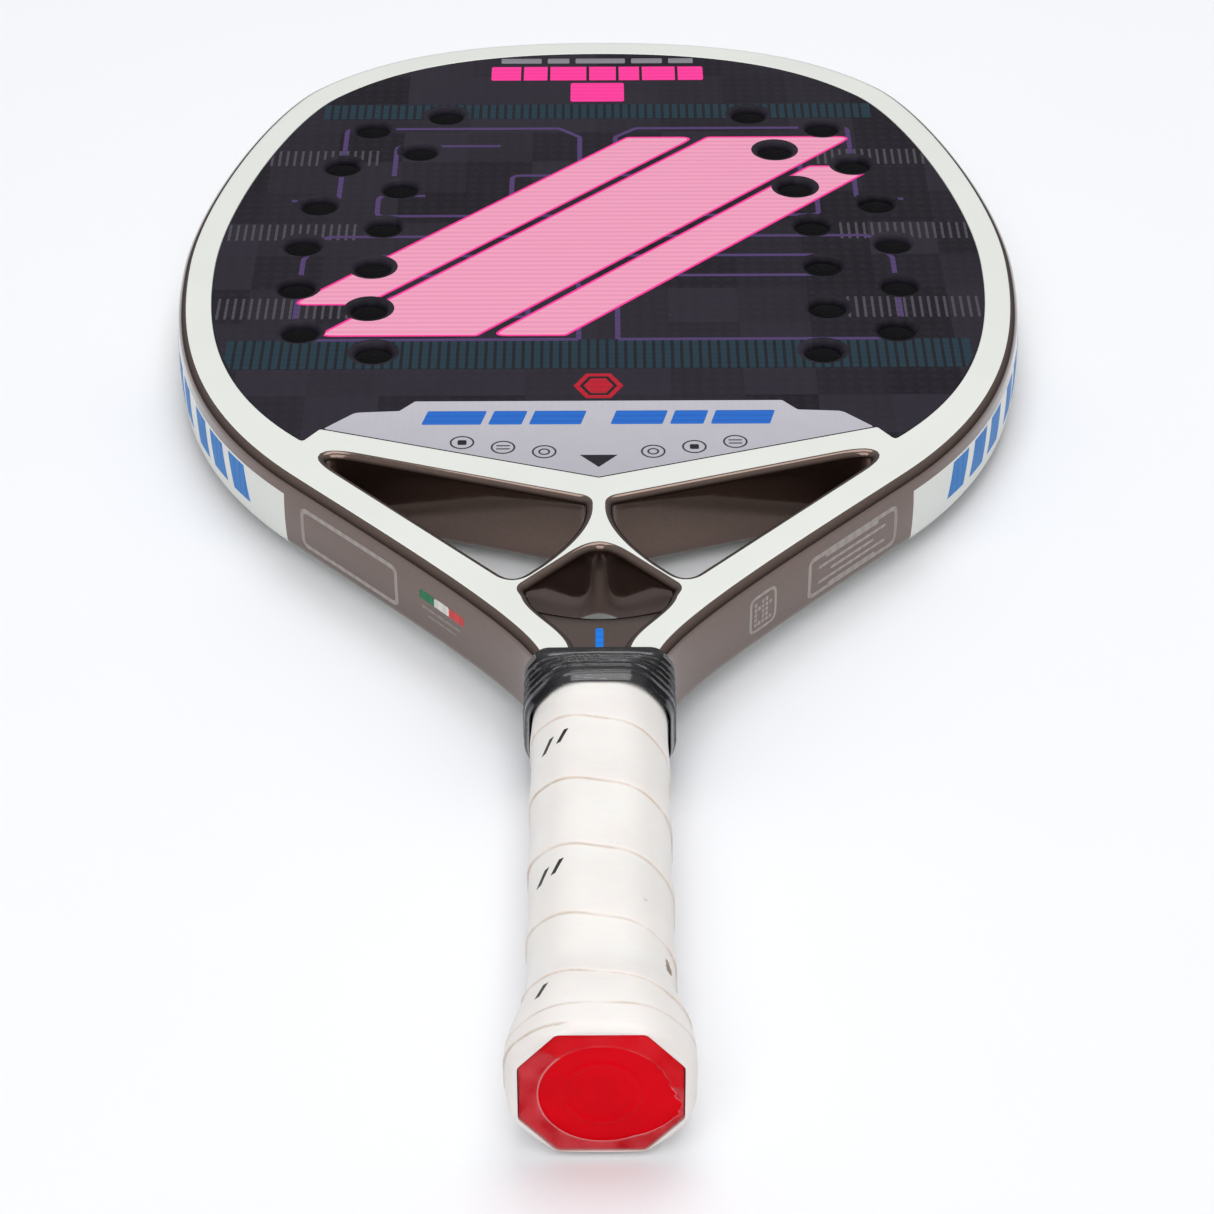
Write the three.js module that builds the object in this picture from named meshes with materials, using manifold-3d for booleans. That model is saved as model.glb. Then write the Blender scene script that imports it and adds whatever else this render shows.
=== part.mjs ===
// A beach tennis racket: a hollow carbon frame round a drilled foam core between two laminate
// faces, an open throat with a V bridge and a forked yoke, and a wrapped octagonal handle.
// Millimetres. X runs across the face, Y from the butt to the tip, Z out of the front face.
import * as THREE from 'three';
import { mergeVertices } from 'three/addons/utils/BufferGeometryUtils.js';
import Module from 'manifold-3d';

// Overall sizes
const HEAD_LENGTH = 269.5; // from the low point of the face to the tip
const HEAD_WIDTH = 242;
const THROAT_LENGTH = 79.5; // from the top of the handle to the low point of the face
const HANDLE_LENGTH = 146; // from the butt to the top of the tape collar
const FRAME_DEPTH = 22;

// Frame tube
const FRAME_WALL = 2;
const FRAME_EDGE_RADIUS = 3;
const SHOULDER_LENGTH = 117.1; // from the low point of the face to the widest line
const CROWN_BAND = 10.5; // width of the frame at the tip
const SIDE_BAND = 9.5; // width of the frame at the sides of the head
const LEG_BAND = 13.2; // width of the frame down the throat
const LEG_HALF_GAP = 3; // half the space between the two legs in the handle
const LEG_HALF_WIDTH = 10; // outside of the legs in the handle
const LEG_HALF_DEPTH = 7.5;
const LEG_NECK = 12; // how far below the handle's top the full-depth frame narrows to the legs
const LEG_STEP = 2.5; // how much wider apart the legs stand where they leave the handle
const COLLAR_HALF_WIDTH = 16.8; // outside of the frame at the handle's top
const LEG_FOOT = 22; // height of the legs' open ends above the butt
const FRAME_FOOT = { inset: 38, rise: 1 }; // where the outside of the head turns into the throat
// How far the control points of the frame's curves stand from the curves' ends
const PULL = {
  side: 50,
  sideFoot: [26.7, 30],
  throat: [22, 24.5],
  collar: [6, 16],
  opening: 46,
  openingFoot: [22.1, 22.4],
  bend: [0.8, 8],
  channel: [1.1, 9],
};

// Faces and core
const FACE_THICKNESS = 1.2;
const DECAL_THICKNESS = 0.3;
const HOLE_DIAMETER = 10;
// Columns of holes: in from the side of the face, up from its low point and down from its tip
const OUTER_COLUMN = { count: 6, inset: 24.3, foot: 77.7, top: 54.3, bow: 0 };
const INNER_COLUMN = { count: 7, inset: 46.4, foot: 65.8, top: 45, bow: 3.4 }; // bow: lean of its ends

// Throat
const EAR = { inset: 41.7, rise: 18.7 }; // lower corner of the face, from the side and the low point
const NOTCH = { inset: 46, rise: 25 }; // upper end of the V edge
const BRIDGE_WIDTH = 10.8;
const BRIDGE_FOOT = { inset: 18.5, swell: 9, drop: 10 }; // broad ends of the bridge, in from the ears
const STRUT_HALF_WIDTH = 3.9;
const STRUT_FILLET = 6;
const ARM_ELBOW = { x: 16.5, drop: 9.8 }; // upper edge of the arms, down from the arch's apex
const ARM_END = { x: 28, drop: 8, depth: 14 };
const ARM_FOOT = { x: 17.5, drop: 20 }; // lower edge of the arms, down from the arch's apex
const ARCH_RISE = 46.7; // apex of the arch above the handle
const ARCH_WIDTH = 5.6;
const BEND_RISE = 27.6; // where the inside of the legs turns towards the channel
const CHANNEL_HALF_WIDTH = 5.3;
const WEB_HALF_DEPTH = 9.6;
const WEB_RISE = 18; // how far the web reaches above the handle
const WEB_RAMP = 7.5; // length of its sloping end

// Film at the foot of the face
const FILM_HEIGHT = 39; // above the low point of the face
const FILM_TOP_HALF_WIDTH = 50;
const FILM_STEP = { width: 3.5, height: 5 };
const FILM_SHOULDER = { width: 10, height: 7 };

// Handle
const SHELL_HALF_WIDTH = 13.7;
const SHELL_HALF_DEPTH = 13.1;
const SHELL_FOOT = 6;
const SOCKET_DEPTH = 17; // how far the butt cap reaches up the shells
const SOCKET_WALL = 1.1;
const BASE_GRIP_THICKNESS = 1.4;
const OVERGRIP_THICKNESS = 0.9;
const TAPE_THICKNESS = 1.1;
const TAPE_LENGTH = 19;
const TAPE_LAP = 4; // how far the tape covers the wraps
const FLARE = { width: 0.247, depth: 0.125, rim: 6, shoulder: 9, top: 30 };
const RIM_TUCK = 0.3; // share of the flare that the wraps lose again at the rim
const CAP_HALF_WIDTH = 17.4;
const CAP_HALF_DEPTH = 16.1;
const CAP_FLANGE = 3;
const FILM_THICKNESS = 0.3;
const FILM_WINDOW_RADIUS = 13.4;

const GAP = 0.3; // clearance between touching pieces
const CURVE_STEPS = 10;
const HOLE_STEPS = 6;
const RING_CROWDING = 1.7; // above 1, a sleeve's rings are closer together near the butt
const FAR = 40; // past every handle piece, for cutting

const HANDLE_TOP = HANDLE_LENGTH;
const HEAD_FOOT = HANDLE_TOP + THROAT_LENGTH;
const TIP = HEAD_FOOT + HEAD_LENGTH;
const WIDEST = HEAD_FOOT + SHOULDER_LENGTH;
const HALF_WIDTH = HEAD_WIDTH / 2;
const HALF_DEPTH = FRAME_DEPTH / 2;
const LEG_TOP = HANDLE_TOP - LEG_NECK;
const V_SLOPE = NOTCH.rise / (HALF_WIDTH - NOTCH.inset);
const BRIDGE_DROP = BRIDGE_WIDTH * Math.hypot(1, V_SLOPE);

const wasm = await Module();
wasm.setup();

// ---------------------------------------------------------------- solids

/** A closed three.js geometry as a solid that can be joined and cut. */
function solid(geometry) {
  const bare = geometry.index ? geometry.toNonIndexed() : geometry.clone();
  bare.deleteAttribute('normal');
  bare.deleteAttribute('uv');
  const merged = mergeVertices(bare, 1e-4);
  const vertProperties = new Float32Array(merged.attributes.position.array);
  const triVerts = new Uint32Array(merged.index.array);
  return new wasm.Manifold(new wasm.Mesh({ numProp: 3, vertProperties, triVerts }));
}

/** The triangles of a solid as a flat-shaded geometry. */
function surface(body) {
  const mesh = body.getMesh();
  const geometry = new THREE.BufferGeometry();
  geometry.setAttribute('position', new THREE.BufferAttribute(new Float32Array(mesh.vertProperties), 3));
  geometry.setIndex(new THREE.BufferAttribute(new Uint32Array(mesh.triVerts), 1));
  geometry.computeVertexNormals();
  return geometry;
}

/** A plate of the given outline between two levels of Z, its outer edges rounded by `round`. */
function plate(points, low, high, round = 0) {
  const shape = new THREE.Shape(points);
  const geometry = new THREE.ExtrudeGeometry(shape, {
    depth: high - low - 2 * round,
    bevelEnabled: round > 0,
    bevelThickness: round,
    bevelSize: round,
    bevelOffset: -round,
    bevelSegments: 3,
  });
  geometry.translate(0, 0, low + round);
  return solid(geometry);
}

/** A plate that reaches the same way above and below the middle plane. */
function slab(points, halfDepth, round = 0) {
  return plate(points, -halfDepth, halfDepth, round);
}

/** A bar of the given X-Z section between two heights above the butt, cut into `steps` rings. */
function bar(section, from, to, steps = 1) {
  const geometry = new THREE.ExtrudeGeometry(section, { depth: to - from, steps, bevelEnabled: false });
  geometry.rotateX(Math.PI / 2);
  geometry.translate(0, to, 0);
  return geometry;
}

// ---------------------------------------------------------------- outlines

/** A closed outline from its right half, which runs from the top of the Y axis to its foot. */
function mirrored(half) {
  const left = half.filter((point) => point.x > 1e-6).map((point) => new THREE.Vector2(-point.x, point.y));
  return [...half, ...left.reverse()];
}

/** An outline moved outwards by a distance, or inwards by a negative one. */
function grown(points, distance) {
  const count = points.length;
  const side = Math.sign(THREE.ShapeUtils.area(points));
  return points.map((point, i) => {
    const before = point.clone().sub(points[(i + count - 1) % count]).normalize();
    const after = points[(i + 1) % count].clone().sub(point).normalize();
    const bisector = before.clone().add(after).normalize();
    const reach = (distance * side) / Math.max(0.35, bisector.dot(after));
    return new THREE.Vector2(point.x + bisector.y * reach, point.y - bisector.x * reach);
  });
}

/**
 * The upper part of a head outline: flat tip, round shoulder, and side down to the widest line.
 * Each point is a share of the half width across and a share of the crown's length down.
 */
function crown(path, halfWidth, tip) {
  const at = (across, down) => [across * halfWidth, tip - down * (tip - WIDEST)];
  path.moveTo(...at(0, 0));
  path.bezierCurveTo(...at(0.417, 0), ...at(0.61, 0.102), ...at(0.743, 0.225));
  path.bezierCurveTo(...at(0.859, 0.333), ...at(1, 0.728), ...at(1, 1));
}

/** Right half of the frame's outside, down to the top of the handle. */
function frameSide() {
  const foot = new THREE.Vector2(HALF_WIDTH - FRAME_FOOT.inset, HEAD_FOOT + FRAME_FOOT.rise);
  const collar = new THREE.Vector2(COLLAR_HALF_WIDTH, HANDLE_TOP);
  const path = new THREE.Path();
  crown(path, HALF_WIDTH, TIP);
  path.bezierCurveTo(
    HALF_WIDTH,
    WIDEST - PULL.side,
    foot.x + PULL.sideFoot[0],
    foot.y + PULL.sideFoot[1],
    foot.x,
    foot.y,
  );
  path.bezierCurveTo(
    foot.x - PULL.throat[0],
    foot.y - PULL.throat[1],
    collar.x + PULL.collar[0],
    collar.y + PULL.collar[1],
    collar.x,
    collar.y,
  );
  return path.getPoints(CURVE_STEPS);
}

/** Right half of the head opening, from the tip to the lower corner of the face. */
function openingSide() {
  const halfWidth = HALF_WIDTH - SIDE_BAND;
  const ear = new THREE.Vector2(HALF_WIDTH - EAR.inset, HEAD_FOOT + EAR.rise);
  const path = new THREE.Path();
  crown(path, halfWidth, TIP - CROWN_BAND);
  path.bezierCurveTo(
    halfWidth,
    WIDEST - PULL.opening,
    ear.x + PULL.openingFoot[0],
    ear.y + PULL.openingFoot[1],
    ear.x,
    ear.y,
  );
  return path.getPoints(CURVE_STEPS);
}

/** The frame's outside: the head, the throat and the start of the legs. */
function frameOutline() {
  const leg = new THREE.Vector2(LEG_HALF_WIDTH + 2.4, LEG_TOP);
  return mirrored([...frameSide(), leg]);
}

/** Inner line of the frame down one side of the throat, a leg's width inside the outside. */
function throatSide() {
  const outside = frameSide().filter((point) => point.y < HEAD_FOOT + FRAME_FOOT.rise + GAP);
  const top = outside[0];
  const bottom = outside[Math.floor(outside.length / 2)];
  const along = bottom.clone().sub(top).normalize();
  const inward = new THREE.Vector2(along.y, -along.x).multiplyScalar(LEG_BAND);
  const start = top.clone().add(inward);
  const level = HANDLE_TOP + BEND_RISE;
  const reach = (start.y - level) / -along.y;
  const corner = start.clone().add(along.multiplyScalar(reach));
  const path = new THREE.Path();
  path.moveTo(start.x, start.y);
  path.lineTo(corner.x, corner.y);
  path.bezierCurveTo(
    corner.x - PULL.bend[0],
    level - PULL.bend[1],
    CHANNEL_HALF_WIDTH + PULL.channel[0],
    HANDLE_TOP + PULL.channel[1],
    CHANNEL_HALF_WIDTH,
    HANDLE_TOP,
  );
  path.lineTo(CHANNEL_HALF_WIDTH, LEG_TOP - 1);
  return path.getPoints(CURVE_STEPS);
}

/** The inside of the frame: the head opening, the throat and the channel between the legs. */
function insideOutline() {
  return mirrored([...openingSide(), ...throatSide()]);
}

/** The face: the head opening closed at the foot by a shallow V with a notch at each end. */
function faceOutline() {
  const notch = new THREE.Vector2(HALF_WIDTH - NOTCH.inset, HEAD_FOOT + NOTCH.rise);
  return mirrored([...openingSide(), notch, new THREE.Vector2(0, HEAD_FOOT)]);
}

/** An octagon with long bevels, as the handle and its wraps have. */
function octagon(halfWidth, halfDepth, flatAcross = 0.536, flatDeep = 0.44) {
  const a = halfWidth * flatAcross;
  const b = halfDepth * flatDeep;
  const upper = [[halfWidth, b], [a, halfDepth], [-a, halfDepth], [-halfWidth, b]];
  const lower = upper.map(([x, z]) => [-x, -z]);
  return [...upper, ...lower].map(([x, z]) => new THREE.Vector2(x, z));
}

/** A rectangle between two values across and two values deep. */
function rectangle(left, right, low, high) {
  const corners = [[left, low], [right, low], [right, high], [left, high]];
  return new THREE.Shape(corners.map(([x, z]) => new THREE.Vector2(x, z)));
}

/** An octagonal ring as a section. */
function octagonRing(outerHalf, innerHalf, flats = []) {
  const ring = new THREE.Shape(octagon(...outerHalf, ...flats));
  ring.holes.push(new THREE.Path(octagon(...innerHalf, ...flats)));
  return ring;
}

// ---------------------------------------------------------------- frame

/** The frame's body, grown or shrunk: the head and throat at full depth, with narrower legs. */
function frameBody(growth, foot) {
  const outside = grown(frameOutline(), growth);
  const inside = grown(insideOutline(), -growth);
  const round = growth === 0 ? FRAME_EDGE_RADIUS : 0;
  const ring = slab(outside, HALF_DEPTH + growth, round).subtract(slab(inside, FRAME_DEPTH));
  const legs = [-1, 1].map((sign) => {
    const low = LEG_HALF_GAP - growth;
    const high = LEG_HALF_WIDTH + growth;
    const outline = [
      new THREE.Vector2(sign * low, foot),
      new THREE.Vector2(sign * high, foot),
      new THREE.Vector2(sign * high, LEG_TOP + 4),
      new THREE.Vector2(sign * (low + LEG_STEP), LEG_TOP + 4),
      new THREE.Vector2(sign * (low + LEG_STEP), LEG_TOP),
      new THREE.Vector2(sign * low, LEG_TOP - 6),
    ];
    return slab(outline, LEG_HALF_DEPTH + growth);
  });
  return ring.add(legs[0]).add(legs[1]);
}

/** Hollow carbon tube round the head, down the throat and into the handle, open at its feet. */
function frameTube() {
  return frameBody(0, LEG_FOOT).subtract(frameBody(-FRAME_WALL, LEG_FOOT - 2));
}

// ---------------------------------------------------------------- throat

/** A solid cut back so that it clears the inside of the frame. */
function insideFrame(body) {
  return body.intersect(slab(grown(insideOutline(), -GAP), FRAME_DEPTH));
}

/** The V bar that closes the head, with a broad foot at each side of the frame. */
function throatBridge() {
  const notchX = HALF_WIDTH - NOTCH.inset;
  const footX = HALF_WIDTH - EAR.inset - BRIDGE_FOOT.inset;
  const lower = (x) => HEAD_FOOT - BRIDGE_DROP + V_SLOPE * x;
  const { swell: bulge, drop } = BRIDGE_FOOT;
  const half = new THREE.Path();
  half.moveTo(0, HEAD_FOOT - GAP);
  half.lineTo(notchX, HEAD_FOOT + NOTCH.rise - GAP);
  half.lineTo(notchX + EAR.rise, HEAD_FOOT);
  half.lineTo(footX + 2 * bulge, lower(footX) - 1.5 * drop);
  half.lineTo(footX + bulge / 3, lower(footX) - drop);
  half.bezierCurveTo(
    footX + bulge,
    lower(footX) - 0.4 * drop,
    footX + 0.8 * bulge,
    lower(footX) + 0.2 * drop,
    footX,
    lower(footX),
  );
  half.lineTo(0, lower(0));
  const band = slab(mirrored(half.getPoints(6)), HALF_DEPTH);
  return insideFrame(band).subtract(slab(grown(faceOutline(), GAP), FRAME_DEPTH));
}

/** The centre strut and its two arched arms, which stand on the legs. */
function throatYoke() {
  const top = HEAD_FOOT - BRIDGE_DROP - GAP;
  const apex = HANDLE_TOP + ARCH_RISE;
  const filletX = STRUT_HALF_WIDTH + STRUT_FILLET;
  const elbow = new THREE.Vector2(ARM_ELBOW.x, apex - ARM_ELBOW.drop);
  const end = new THREE.Vector2(ARM_END.x, apex - ARM_END.drop);
  const half = new THREE.Path();
  half.moveTo(0, top);
  half.lineTo(filletX, top + V_SLOPE * filletX);
  half.quadraticCurveTo(STRUT_HALF_WIDTH, top + 1, STRUT_HALF_WIDTH, top - STRUT_FILLET);
  half.bezierCurveTo(STRUT_HALF_WIDTH, apex + 6, 0.6 * elbow.x, elbow.y + 7.3, elbow.x, elbow.y);
  half.quadraticCurveTo((elbow.x + end.x) / 2, elbow.y - 4.2, end.x, end.y);
  half.lineTo(end.x + 6, end.y - ARM_END.depth);
  half.lineTo(ARM_FOOT.x, apex - ARM_FOOT.drop);
  half.lineTo(ARCH_WIDTH, apex - 0.7 * ARCH_WIDTH);
  half.quadraticCurveTo(ARCH_WIDTH / 2, apex, 0, apex);
  return insideFrame(slab(mirrored(half.getPoints(5)), HALF_DEPTH));
}

/** The piece between the legs at the foot of the throat, its top sloping down into the throat. */
function throatWeb() {
  const foot = LEG_TOP + 0.5;
  const end = HANDLE_TOP + WEB_RISE;
  const ramp = end - WEB_RAMP;
  const side = new THREE.Path();
  side.moveTo(foot, WEB_HALF_DEPTH);
  side.lineTo(ramp, WEB_HALF_DEPTH);
  side.quadraticCurveTo(end - 1, WEB_HALF_DEPTH - 1, end + 1, WEB_HALF_DEPTH - 8);
  side.lineTo(end + 1, 8 - WEB_HALF_DEPTH);
  side.quadraticCurveTo(end - 1, 1 - WEB_HALF_DEPTH, ramp, -WEB_HALF_DEPTH);
  side.lineTo(foot, -WEB_HALF_DEPTH);
  const profile = new THREE.ExtrudeGeometry(new THREE.Shape(side.getPoints(5)), {
    depth: 2 * FAR,
    bevelEnabled: false,
  });
  profile.rotateX(Math.PI / 2);
  profile.rotateZ(Math.PI / 2);
  profile.translate(-FAR, 0, 0);
  return insideFrame(solid(profile));
}

// ---------------------------------------------------------------- head

/** Half width of the head opening at a height, read from its outline. */
function openingHalfWidth(y) {
  const side = openingSide();
  const i = side.findIndex((point, k) => k > 0 && point.y <= y);
  const upper = side[i - 1];
  const lower = side[i];
  const share = (upper.y - y) / (upper.y - lower.y);
  return upper.x + share * (lower.x - upper.x);
}

/** Centres of the drilled holes: two columns on each side, following the side of the face. */
function holeCentres() {
  const centres = [];
  for (const column of [OUTER_COLUMN, INNER_COLUMN]) {
    const low = HEAD_FOOT + column.foot;
    const high = TIP - CROWN_BAND - column.top;
    for (let i = 0; i < column.count; i += 1) {
      const share = i / (column.count - 1);
      const y = low + share * (high - low);
      const lean = column.bow * (2 * share - 1) ** 2;
      const x = openingHalfWidth(y) - column.inset + lean;
      centres.push(new THREE.Vector2(x, y), new THREE.Vector2(-x, y));
    }
  }
  return centres;
}

/** A layer of the head between two levels, inside the frame and drilled through. */
function drilledLayer(low, high) {
  const shape = new THREE.Shape(grown(faceOutline(), -GAP));
  for (const centre of holeCentres()) {
    const hole = new THREE.Path();
    hole.absarc(centre.x, centre.y, HOLE_DIAMETER / 2, 0, 2 * Math.PI);
    shape.holes.push(hole);
  }
  const settings = { depth: high - low, bevelEnabled: false, curveSegments: HOLE_STEPS };
  const geometry = new THREE.ExtrudeGeometry(shape, settings);
  geometry.translate(0, 0, low);
  return solid(geometry);
}

/** The film at the foot of the face: straight top, stepped shoulders and the face's V. */
function decalOutline(margin) {
  const notchX = HALF_WIDTH - NOTCH.inset - margin;
  const top = HEAD_FOOT + FILM_HEIGHT - margin;
  const shoulderX = notchX - FILM_SHOULDER.width;
  const half = new THREE.Path();
  half.moveTo(0, top);
  half.lineTo(FILM_TOP_HALF_WIDTH, top);
  half.lineTo(FILM_TOP_HALF_WIDTH + FILM_STEP.width - margin, top - FILM_STEP.height);
  half.lineTo(shoulderX, top - FILM_STEP.height);
  half.quadraticCurveTo(
    shoulderX + 0.6 * FILM_SHOULDER.width,
    top - FILM_SHOULDER.height,
    notchX,
    HEAD_FOOT + NOTCH.rise,
  );
  half.lineTo(notchX + 2, HEAD_FOOT + NOTCH.rise - 4);
  half.lineTo(0, HEAD_FOOT - BRIDGE_WIDTH);
  return mirrored(half.getPoints(4));
}

/** A laminate sheet, with a shallow seat for the film. `side` is 1 in front and -1 behind. */
function faceSheet(side) {
  const levels = [HALF_DEPTH - FACE_THICKNESS, HALF_DEPTH].map((z) => side * z);
  const seat = [HALF_DEPTH - DECAL_THICKNESS - GAP, HALF_DEPTH + 1].map((z) => side * z);
  const sheet = drilledLayer(Math.min(...levels), Math.max(...levels));
  return sheet.subtract(plate(decalOutline(0), Math.min(...seat), Math.max(...seat)));
}

function faceDecal(side) {
  const levels = [HALF_DEPTH - DECAL_THICKNESS, HALF_DEPTH].map((z) => side * z);
  const film = plate(decalOutline(GAP), Math.min(...levels), Math.max(...levels));
  return film.intersect(slab(grown(faceOutline(), -GAP), FRAME_DEPTH));
}

function foamCore() {
  const halfDepth = HALF_DEPTH - FACE_THICKNESS - GAP;
  return drilledLayer(-halfDepth, halfDepth);
}

// ---------------------------------------------------------------- handle

/** How much the wraps swell near the butt: nothing above the flare, most just behind the rim. */
function swell(y) {
  if (y < FLARE.rim) {
    return 1 - RIM_TUCK * ((FLARE.rim - y) / FLARE.rim) ** 2;
  }
  return 1 - THREE.MathUtils.smoothstep(y, FLARE.shoulder, FLARE.top);
}

/** An octagonal sleeve with flared butt end. Its rings are closer together near the butt. */
function flaredSleeve(outerHalf, innerHalf, from, to, steps) {
  const geometry = bar(octagonRing(outerHalf, innerHalf), from, to, steps);
  const position = geometry.attributes.position;
  for (let i = 0; i < position.count; i += 1) {
    const share = (position.getY(i) - from) / (to - from);
    const y = from + (to - from) * share ** RING_CROWDING;
    position.setXYZ(
      i,
      position.getX(i) * (1 + FLARE.width * swell(y)),
      y,
      position.getZ(i) * (1 + FLARE.depth * swell(y)),
    );
  }
  return geometry;
}

/** Half of the octagonal handle: a moulded shell over the legs, stepped in for the butt cap. */
function handleShell(side) {
  const foot = SHELL_FOOT;
  const top = LEG_TOP - GAP;
  const outer = solid(bar(new THREE.Shape(octagon(SHELL_HALF_WIDTH, SHELL_HALF_DEPTH)), foot, top));
  const boreHalf = [LEG_HALF_WIDTH + GAP, LEG_HALF_DEPTH + GAP];
  const bore = solid(bar(rectangle(-boreHalf[0], boreHalf[0], -boreHalf[1], boreHalf[1]), foot - 1, top + 1));
  const socketHalf = [SHELL_HALF_WIDTH - SOCKET_WALL - GAP, SHELL_HALF_DEPTH - SOCKET_WALL - GAP];
  const step = solid(bar(octagonRing([FAR, FAR], socketHalf), foot - 1, SOCKET_DEPTH + GAP));
  const split = [side * (GAP / 2), side * FAR];
  const half = rectangle(-FAR, FAR, Math.min(...split), Math.max(...split));
  return outer.subtract(bore).subtract(step).intersect(solid(bar(half, foot - 1, top + 1)));
}

/** Foam strip between the legs, up to the web. */
function handleFiller() {
  const halfWidth = LEG_HALF_GAP - GAP;
  return bar(rectangle(-halfWidth, halfWidth, -LEG_HALF_DEPTH, LEG_HALF_DEPTH), LEG_FOOT, LEG_TOP);
}

const BASE_GRIP_HALF = [SHELL_HALF_WIDTH + GAP, SHELL_HALF_DEPTH + GAP];
const OVERGRIP_HALF = BASE_GRIP_HALF.map((half) => half + BASE_GRIP_THICKNESS + GAP);
const WRAP_TOP = HANDLE_TOP - TAPE_LENGTH + TAPE_LAP;

function baseGrip() {
  const outer = BASE_GRIP_HALF.map((half) => half + BASE_GRIP_THICKNESS);
  return flaredSleeve(outer, BASE_GRIP_HALF, CAP_FACE + CAP_FLANGE + GAP, WRAP_TOP, 12);
}

function overgrip() {
  const outer = OVERGRIP_HALF.map((half) => half + OVERGRIP_THICKNESS);
  return flaredSleeve(outer, OVERGRIP_HALF, 0.5, WRAP_TOP, 16);
}

/** Black tape: over the wraps at its foot, and narrowing onto the frame at its top. */
function finishingTape() {
  const foot = HANDLE_TOP - TAPE_LENGTH;
  const squareFlats = [0.86, 0.8];
  const inner = OVERGRIP_HALF.map((half) => half + OVERGRIP_THICKNESS + GAP);
  const outer = inner.map((half) => half + TAPE_THICKNESS);
  const geometry = bar(octagonRing(outer, inner, squareFlats), foot, HANDLE_TOP, 8);
  const position = geometry.attributes.position;
  const topWidth = (COLLAR_HALF_WIDTH + 2 * GAP) / inner[0];
  const topDepth = (HALF_DEPTH + 2 * GAP) / inner[1];
  for (let i = 0; i < position.count; i += 1) {
    const share = THREE.MathUtils.smoothstep(position.getY(i), foot + TAPE_LAP, HANDLE_TOP);
    position.setX(i, position.getX(i) * THREE.MathUtils.lerp(1, topWidth, share));
    position.setZ(i, position.getZ(i) * THREE.MathUtils.lerp(1, topDepth, share));
  }
  return geometry;
}

const CAP_FACE = FILM_THICKNESS + GAP;

/** Moulded cap: a thick octagonal end plate with a sleeve that takes the ends of the shells. */
function buttCap() {
  const plateEnd = CAP_FACE + CAP_FLANGE;
  const end = solid(bar(new THREE.Shape(octagon(CAP_HALF_WIDTH, CAP_HALF_DEPTH)), CAP_FACE, plateEnd));
  const socketHalf = [SHELL_HALF_WIDTH - SOCKET_WALL, SHELL_HALF_DEPTH - SOCKET_WALL];
  const sleeveHalf = [SHELL_HALF_WIDTH, SHELL_HALF_DEPTH];
  return end.add(solid(bar(octagonRing(sleeveHalf, socketHalf), plateEnd - 0.5, SOCKET_DEPTH)));
}

/** Clear film folded over the rim of the cap, with a round window in the middle. */
function buttFilm() {
  const ring = new THREE.Shape(octagon(CAP_HALF_WIDTH - GAP, CAP_HALF_DEPTH - GAP));
  const window = new THREE.Path();
  window.absarc(0, 0, FILM_WINDOW_RADIUS, 0, 2 * Math.PI);
  ring.holes.push(window);
  return bar(ring, 0, FILM_THICKNESS);
}

// ---------------------------------------------------------------- assembly

const LACQUER_WHITE = { color: 0xe4e6df, roughness: 0.35, metalness: 0 };
const LACQUER_BRONZE = { color: 0x6f625c, roughness: 0.3, metalness: 0.4 };
const LAMINATE = { color: 0x2e2a30, roughness: 0.5, metalness: 0 };
const FOAM = { color: 0xf0eee8, roughness: 0.9, metalness: 0 };
const FILM = { color: 0xbebbc3, roughness: 0.4, metalness: 0 };
const SHELL_FOAM = { color: 0x3a3a3c, roughness: 0.8, metalness: 0 };
const RUBBER_WRAP = { color: 0x1e1e20, roughness: 0.85, metalness: 0 };
const TACKY_WRAP = { color: 0xf5efeb, roughness: 0.6, metalness: 0 };
const TAPE = { color: 0x18181a, roughness: 0.25, metalness: 0 };
const CLEAR_FILM = { color: 0xe05a60, roughness: 0.1, metalness: 0, transparent: true, opacity: 0.4 };
const RED_PLASTIC = { color: 0xd3000f, roughness: 0.35, metalness: 0 };

const racket = new THREE.Group();

/** Hangs one named piece on the racket. */
function piece(name, shape, finish) {
  const geometry = shape.isBufferGeometry ? shape : surface(shape);
  const mesh = new THREE.Mesh(geometry, new THREE.MeshStandardMaterial(finish));
  mesh.name = name;
  racket.add(mesh);
}

piece('frame_tube', frameTube(), LACQUER_WHITE);
piece('throat_bridge', throatBridge(), LACQUER_WHITE);
piece('throat_yoke', throatYoke(), LACQUER_WHITE);
piece('throat_web', throatWeb(), LACQUER_BRONZE);
piece('foam_core', foamCore(), FOAM);
piece('front_face', faceSheet(1), LAMINATE);
piece('rear_face', faceSheet(-1), LAMINATE);
piece('front_throat_decal', faceDecal(1), FILM);
piece('rear_throat_decal', faceDecal(-1), FILM);
piece('handle_shell_front', handleShell(1), SHELL_FOAM);
piece('handle_shell_rear', handleShell(-1), SHELL_FOAM);
piece('handle_filler', handleFiller(), FOAM);
piece('base_grip', baseGrip(), RUBBER_WRAP);
piece('overgrip', overgrip(), TACKY_WRAP);
piece('finishing_tape', finishingTape(), TAPE);
piece('butt_cap', buttCap(), RED_PLASTIC);
piece('butt_film', buttFilm(), CLEAR_FILM);

// The racket lies on its rear side, with the middle of its box over the origin.
const box = new THREE.Box3().setFromObject(racket);
racket.position.set(0, -(box.min.y + box.max.y) / 2, -box.min.z);

export default racket;
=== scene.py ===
import math
from functools import partial

import bmesh
import bpy
import numpy as np
from bpy.props import FloatProperty, FloatVectorProperty, IntProperty, PointerProperty
from mathutils import Matrix, Vector
from mathutils.geometry import delaunay_2d_cdt


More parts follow.
